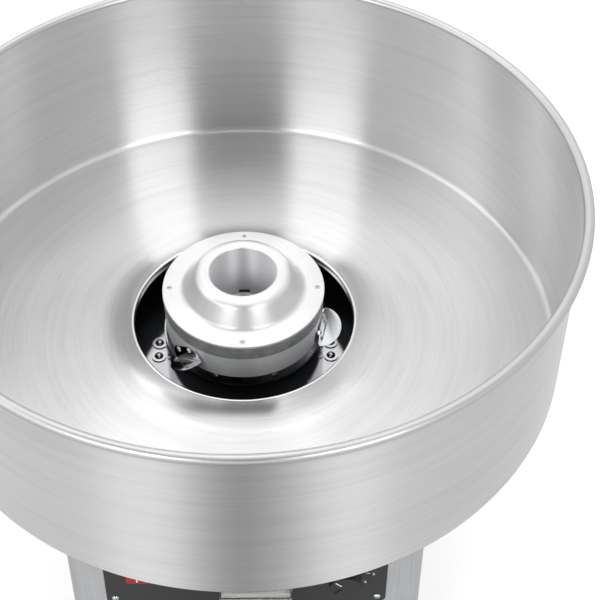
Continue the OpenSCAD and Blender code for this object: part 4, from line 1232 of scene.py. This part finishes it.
    def rocker_signs(self) -> None:
        """Ring on the half that is pressed when off, and bar on the half pressed when on."""
        along, low = self.rocker_face
        rest = Matrix.Rotation(math.radians(self.rocker_rest), 4, "X")
        for name, across in self.rockers:
            tip = self.on_panel(across, 0, self.rocker_pivot) @ rest
            for sign, side in (("off", 1), ("on", -1)):
                face = moved(0, side * along, low + along * self.rocker_rise)
                lean = Matrix.Rotation(side * math.atan(self.rocker_rise), 4, "X")
                flat = self.ring(*self.off_ring) if sign == "off" else self.bar(self.on_bar)
                self.print_on(f"{name}_{sign}_sign", [flat], tip @ face @ lean, WHITE_INK,
                              f"{name}_rocker_body", "dial_plastic")

    def scale_arc(self) -> bpy.types.Object:
        """Cut the scale's arc out of a ring.

        Returns:
            The arc, as wide as the needle's swing.
        """
        made = self.ring(self.scale_r + self.scale_line / 2, self.scale_line)
        bpy.ops.object.mode_set(mode="EDIT")
        for side in (-1, 1):
            bpy.ops.mesh.select_all(action="SELECT")
            bpy.ops.mesh.bisect(plane_co=(0, 0, 0), plane_no=(side, -1, 0), clear_outer=True)
        bpy.ops.object.mode_set(mode="OBJECT")
        return made

    def meter_scale(self) -> None:
        """Print the arc, ticks and volts on the meter's dial."""
        flats = [self.scale_arc()]
        for i in range(self.ticks + 1):
            size = self.minor_tick if i % self.ticks_per_number else self.major_tick
            turn = self.scale_span * (0.5 - i / self.ticks)
            flats.append(self.bar(size, self.scale_r + size[1] / 2, turn))
        swing, draw_in = self.volts_swing
        reach = self.scale_r + self.volts_reach
        for i in range(self.ticks // self.ticks_per_number + 1):
            turn = math.radians(90 + self.scale_span / 2 - swing * i)
            centre = (reach * math.cos(turn) * draw_in, reach * math.sin(turn) - self.volts_drop)
            flats.append(self.figure(str(self.volts_per_number * i), self.volts_size, centre))
        flats.append(self.figure("V", self.unit_size, (0, self.unit_up)))
        self.print_on("meter_scale", flats, self.on_panel(self.meter_x, self.meter_pivot, self.dial_top),
                      BLACK_INK, "base", "dark_plastic")

    def knob_scale(self) -> None:
        """Print ticks and numbers round the knob, and the line on its pointer."""
        flats = []
        reach = self.knob_scale_r + self.knob_reach
        for i in range(self.knob_steps + 1):
            turn = self.knob_start - self.knob_sweep * i / self.knob_steps
            flats.append(self.bar(self.knob_tick, self.knob_scale_r + self.knob_tick[1] / 2, turn - 90))
            centre = (reach * math.cos(math.radians(turn)), reach * math.sin(math.radians(turn)))
            flats.append(self.figure(str(i), self.knob_size, centre))
        self.print_on("knob_scale", flats, self.on_panel(self.knob_x), WHITE_INK, "base", "dial_plastic")
        line = self.bar(self.pointer, self.pointer_out, self.knob_start - 90)
        self.print_on("knob_pointer_line", [line], self.on_panel(self.knob_x, 0, self.knob_top),
                      WHITE_INK, "knob_body", "dial_plastic")

    def build(self) -> None:
        """Print every mark."""
        self.rocker_signs()
        self.meter_scale()
        self.knob_scale()


# ---- Studio --------------------------------------------------------------


WHITE = srgb("#FFFFFF")


@dataclass(frozen=True)
class Patch:
    """A lighter or darker patch of the studio, in degrees right of the front and above the level."""

    level: float
    turns: Point
    rises: Point
    turn_soft: float = 8.0
    rise_soft: float = 5.0


@dataclass(frozen=True)
class Softbox:
    """One softbox that faces the bowl.

    Args:
        name: Name of the lamp.
        azimuth: Direction from the bowl in degrees, 0 at the right and 90 behind.
        height: Angle above the horizon in degrees.
        width: Width in metres.
        tall: Height of the box in metres.
        glow: Brightness of its face, where 1 is white.
    """

    name: str
    azimuth: float
    height: float
    width: float
    tall: float
    glow: float


@dataclass
class Studio:
    """Pale floor, soft lights and the camera."""

    eye: tuple[float, float, float] = (26.6, -846.9, 1247.7)
    forward: tuple[float, float, float] = (0.01489, 0.69295, -0.72084)
    upward: tuple[float, float, float] = (0.00492, 0.72086, 0.69307)
    lens_mm: float = 92.0
    sensor_mm: float = 36.0
    clip: Point = (50.0, 50000.0)
    floor_mm: float = 9000.0
    paper: str = "#F2F2F2"
    floor_glow: float = 0.35
    # angle from the front and brightness of the floor, as metal shows it
    floor_stops: tuple[Point, ...] = (
        (-60, 0.76), (-40, 0.80), (-27, 0.98), (-16, 0.80), (-5, 0.36), (3, 0.36), (14, 0.66), (28, 0.98),
        (42, 0.78),
    )
    tent: float = 1.08  # brightness of the studio round the machine, as metal shows it
    tent_lean: float = -0.22  # how much less that is at the right
    fill: float = 0.8  # light that falls on matt surfaces from all round
    least: float = 0.12
    patches: tuple[Patch, ...] = (
        Patch(-0.9, (-17, 17), (20, 60)),
        Patch(-0.95, (-86, 34), (45, 69), 7, 4),
        Patch(-0.32, (-152, -119), (30, 60), 5, 8),
        Patch(0.45, (-118, -58), (28, 60), 12, 10),
        Patch(-0.16, (48, 100), (28, 60), 10, 10),
        Patch(0.05, (-400, 400), (66, 120)),
    )
    target_mm: float = 400.0  # height that the softboxes face
    distance_mm: float = 6000.0  # from there to each softbox
    softboxes: tuple[Softbox, ...] = (
        Softbox("strip_right", 301, 30, 2.1, 2.2, 4.5),
        Softbox("strip_left", 240.5, 30, 2.4, 2.2, 4.6),
        Softbox("overhead", 100, 62, 2.8, 2.4, 1.1),
        Softbox("overhead_right", 40, 66, 2.4, 2.4, 0.3),
    )

    def camera(self) -> None:
        """Place the camera and make it the scene's own."""
        data = bpy.data.cameras.new("camera")
        data.lens, data.sensor_width = self.lens_mm, self.sensor_mm
        data.clip_start, data.clip_end = self.clip[0] * MM, self.clip[1] * MM
        made = bpy.data.objects.new("camera", data)
        bpy.context.scene.collection.objects.link(made)
        ahead = Vector(self.forward).normalized()
        across = ahead.cross(Vector(self.upward)).normalized()
        turn = Matrix((across, across.cross(ahead), -ahead)).transposed().to_4x4()
        made.matrix_world = moved(*self.eye) @ turn
        bpy.context.scene.camera = made

    def floor(self) -> None:
        """Lay a pale floor that stays white to the camera and keeps the shadow."""
        bpy.ops.mesh.primitive_plane_add(size=self.floor_mm * MM, location=(0, 0, 0))
        made = bpy.context.object
        made.name = "studio_floor"
        paint = bpy.data.materials.new("matt_white_paper")
        paint.use_nodes = True
        paint.node_tree.nodes.clear()
        g = Graph(paint.node_tree)
        matt = g.first("ShaderNodeBsdfDiffuse", {"Color": srgb(self.paper)})
        glow = g.first("ShaderNodeEmission", {"Color": WHITE, "Strength": self.floor_glow})
        both = g.first("ShaderNodeAddShader", in0=matt, in1=glow)
        mirrored = g.first("ShaderNodeEmission", {"Color": WHITE}, Strength=self.mirrored_floor(g))
        rays = g.add("ShaderNodeLightPath").outputs
        seen = g.first("ShaderNodeMixShader", in0=rays["Is Camera Ray"], in1=matt, in2=both)
        mix = g.first("ShaderNodeMixShader", in0=rays["Is Glossy Ray"], in1=seen, in2=mirrored)
        g.add("ShaderNodeOutputMaterial", in0=mix)
        made.data.materials.append(paint)

    def aside(self, g: Graph, x: bpy.types.NodeSocket, y: bpy.types.NodeSocket) -> bpy.types.NodeSocket:
        """Find the angle of a direction right of the front.

        Args:
            g: The nodes.
            x: The direction's part to the right.
            y: Its part towards the back.

        Returns:
            The angle, in degrees.
        """
        front = g.first("ShaderNodeMath", {"operation": "MULTIPLY"}, in0=y, in1=-1)
        turn = g.first("ShaderNodeMath", {"operation": "ARCTAN2"}, in0=x, in1=front)
        return g.first("ShaderNodeMath", {"operation": "DEGREES"}, in0=turn)

    def mirrored_floor(self, g: Graph) -> bpy.types.NodeSocket:
        """Brightness of the floor as metal shows it: darker in front, lighter to both sides.

        Args:
            g: The floor's nodes.

        Returns:
            The brightness.
        """
        place = g.add("ShaderNodeTexCoord").outputs["Object"]
        x, y, _ = g.add("ShaderNodeSeparateXYZ", in0=place).outputs
        whole = {"From Min": -180.0, "From Max": 180.0}
        share = g.first("ShaderNodeMapRange", whole, Value=self.aside(g, x, y))
        ramp = g.add("ShaderNodeValToRGB", in0=share)
        points = ramp.color_ramp.elements
        ramp.color_ramp.interpolation = "B_SPLINE"
        while len(points) < len(self.floor_stops):
            points.new(0.5)
        for point, (angle, level) in zip(points, self.floor_stops):
            point.position = (angle + 180) / 360
            point.color = (level, level, level, 1)
        return ramp.outputs[0]

    def mask(self, g: Graph, turn: bpy.types.NodeSocket, rise: bpy.types.NodeSocket,
             patch: Patch) -> bpy.types.NodeSocket:
        """Draw one patch, with soft edges.

        Args:
            g: The world's nodes.
            turn: Angle right of the front, in degrees.
            rise: Angle above the level, in degrees.
            patch: The patch.

        Returns:
            What the patch adds in each direction.
        """
        share = patch.level
        spans = ((turn, patch.turns, patch.turn_soft), (rise, patch.rises, patch.rise_soft))
        for value, (low, high), soft in spans:
            for edge, start, stop in ((low, 0.0, 1.0), (high, 1.0, 0.0)):
                ease = {
                    "interpolation_type": "SMOOTHSTEP", "From Min": edge - soft, "From Max": edge + soft,
                    "To Min": start, "To Max": stop,
                }
                side = g.first("ShaderNodeMapRange", ease, Value=value)
                share = g.first("ShaderNodeMath", {"operation": "MULTIPLY"}, in0=side, in1=share)
        return share

    def tent_level(self, g: Graph) -> bpy.types.NodeSocket:
        """Brightness of the studio in each direction, as metal shows it.

        Args:
            g: The world's nodes.

        Returns:
            The brightness.
        """
        toward = g.add("ShaderNodeTexCoord").outputs["Generated"]
        x, y, z = g.add("ShaderNodeSeparateXYZ", in0=toward).outputs
        turn = self.aside(g, x, y)
        up = g.first("ShaderNodeMath", {"operation": "ARCSINE"}, in0=z)
        rise = g.first("ShaderNodeMath", {"operation": "DEGREES"}, in0=up)
        lean = g.first("ShaderNodeMath", {"operation": "MULTIPLY"}, in0=x, in1=self.tent_lean)
        level = g.first("ShaderNodeMath", {"operation": "ADD"}, in0=lean, in1=self.tent)
        for patch in self.patches:
            more = self.mask(g, turn, rise, patch)
            level = g.first("ShaderNodeMath", {"operation": "ADD"}, in0=level, in1=more)
        return g.first("ShaderNodeMath", {"operation": "MAXIMUM"}, in0=level, in1=self.least)

    def world(self) -> None:
        """Light the scene evenly, with darker and lighter patches that only metal shows."""
        world = bpy.data.worlds.new("studio")
        bpy.context.scene.world = world
        world.use_nodes = True
        world.node_tree.nodes.clear()
        g = Graph(world.node_tree)
        soft = g.first("ShaderNodeBackground", {"Color": WHITE, "Strength": self.fill})
        shiny = g.first("ShaderNodeBackground", {"Color": WHITE}, Strength=self.tent_level(g))
        white = g.first("ShaderNodeBackground", {"Color": WHITE, "Strength": 1.0})
        rays = g.add("ShaderNodeLightPath").outputs
        lit = g.first("ShaderNodeMixShader", in0=rays["Is Glossy Ray"], in1=soft, in2=shiny)
        mix = g.first("ShaderNodeMixShader", in0=rays["Is Camera Ray"], in1=lit, in2=white)
        g.add("ShaderNodeOutputWorld", in0=mix)

    def hang(self, box: Softbox) -> None:
        """Hang one softbox.

        Args:
            box: The softbox.
        """
        data = bpy.data.lights.new(box.name, "AREA")
        data.shape, data.size, data.size_y = "RECTANGLE", box.width, box.tall
        data.energy = box.glow * math.pi * box.width * box.tall
        made = bpy.data.objects.new(box.name, data)
        bpy.context.scene.collection.objects.link(made)
        turn, rise = math.radians(box.azimuth), math.radians(box.height)
        aim = -Vector((math.cos(turn) * math.cos(rise), math.sin(turn) * math.cos(rise), math.sin(rise)))
        made.location = Vector((0, 0, self.target_mm * MM)) - aim * self.distance_mm * MM
        made.rotation_euler = aim.to_track_quat("-Z", "Y").to_euler()

    def build(self) -> None:
        """Set up the whole studio."""
        bpy.context.scene.view_settings.view_transform = "Standard"
        self.camera()
        self.floor()
        self.world()
        for box in self.softboxes:
            self.hang(box)


def main() -> None:
    """Build the studio and dress the machine."""
    logging.basicConfig(level=logging.INFO)
    bpy.ops.object.select_all(action="DESELECT")
    Studio().build()
    shop = Workshop()
    shop.dress_nodes()
    LOG.info("dressed %d CAD nodes", len(frame["nodes"]))
    Bowl(shop).build()
    HeadCap(shop).build()
    Vanes(shop).build()
    Marks(shop).build()


if __name__ == "__main__":
    main()
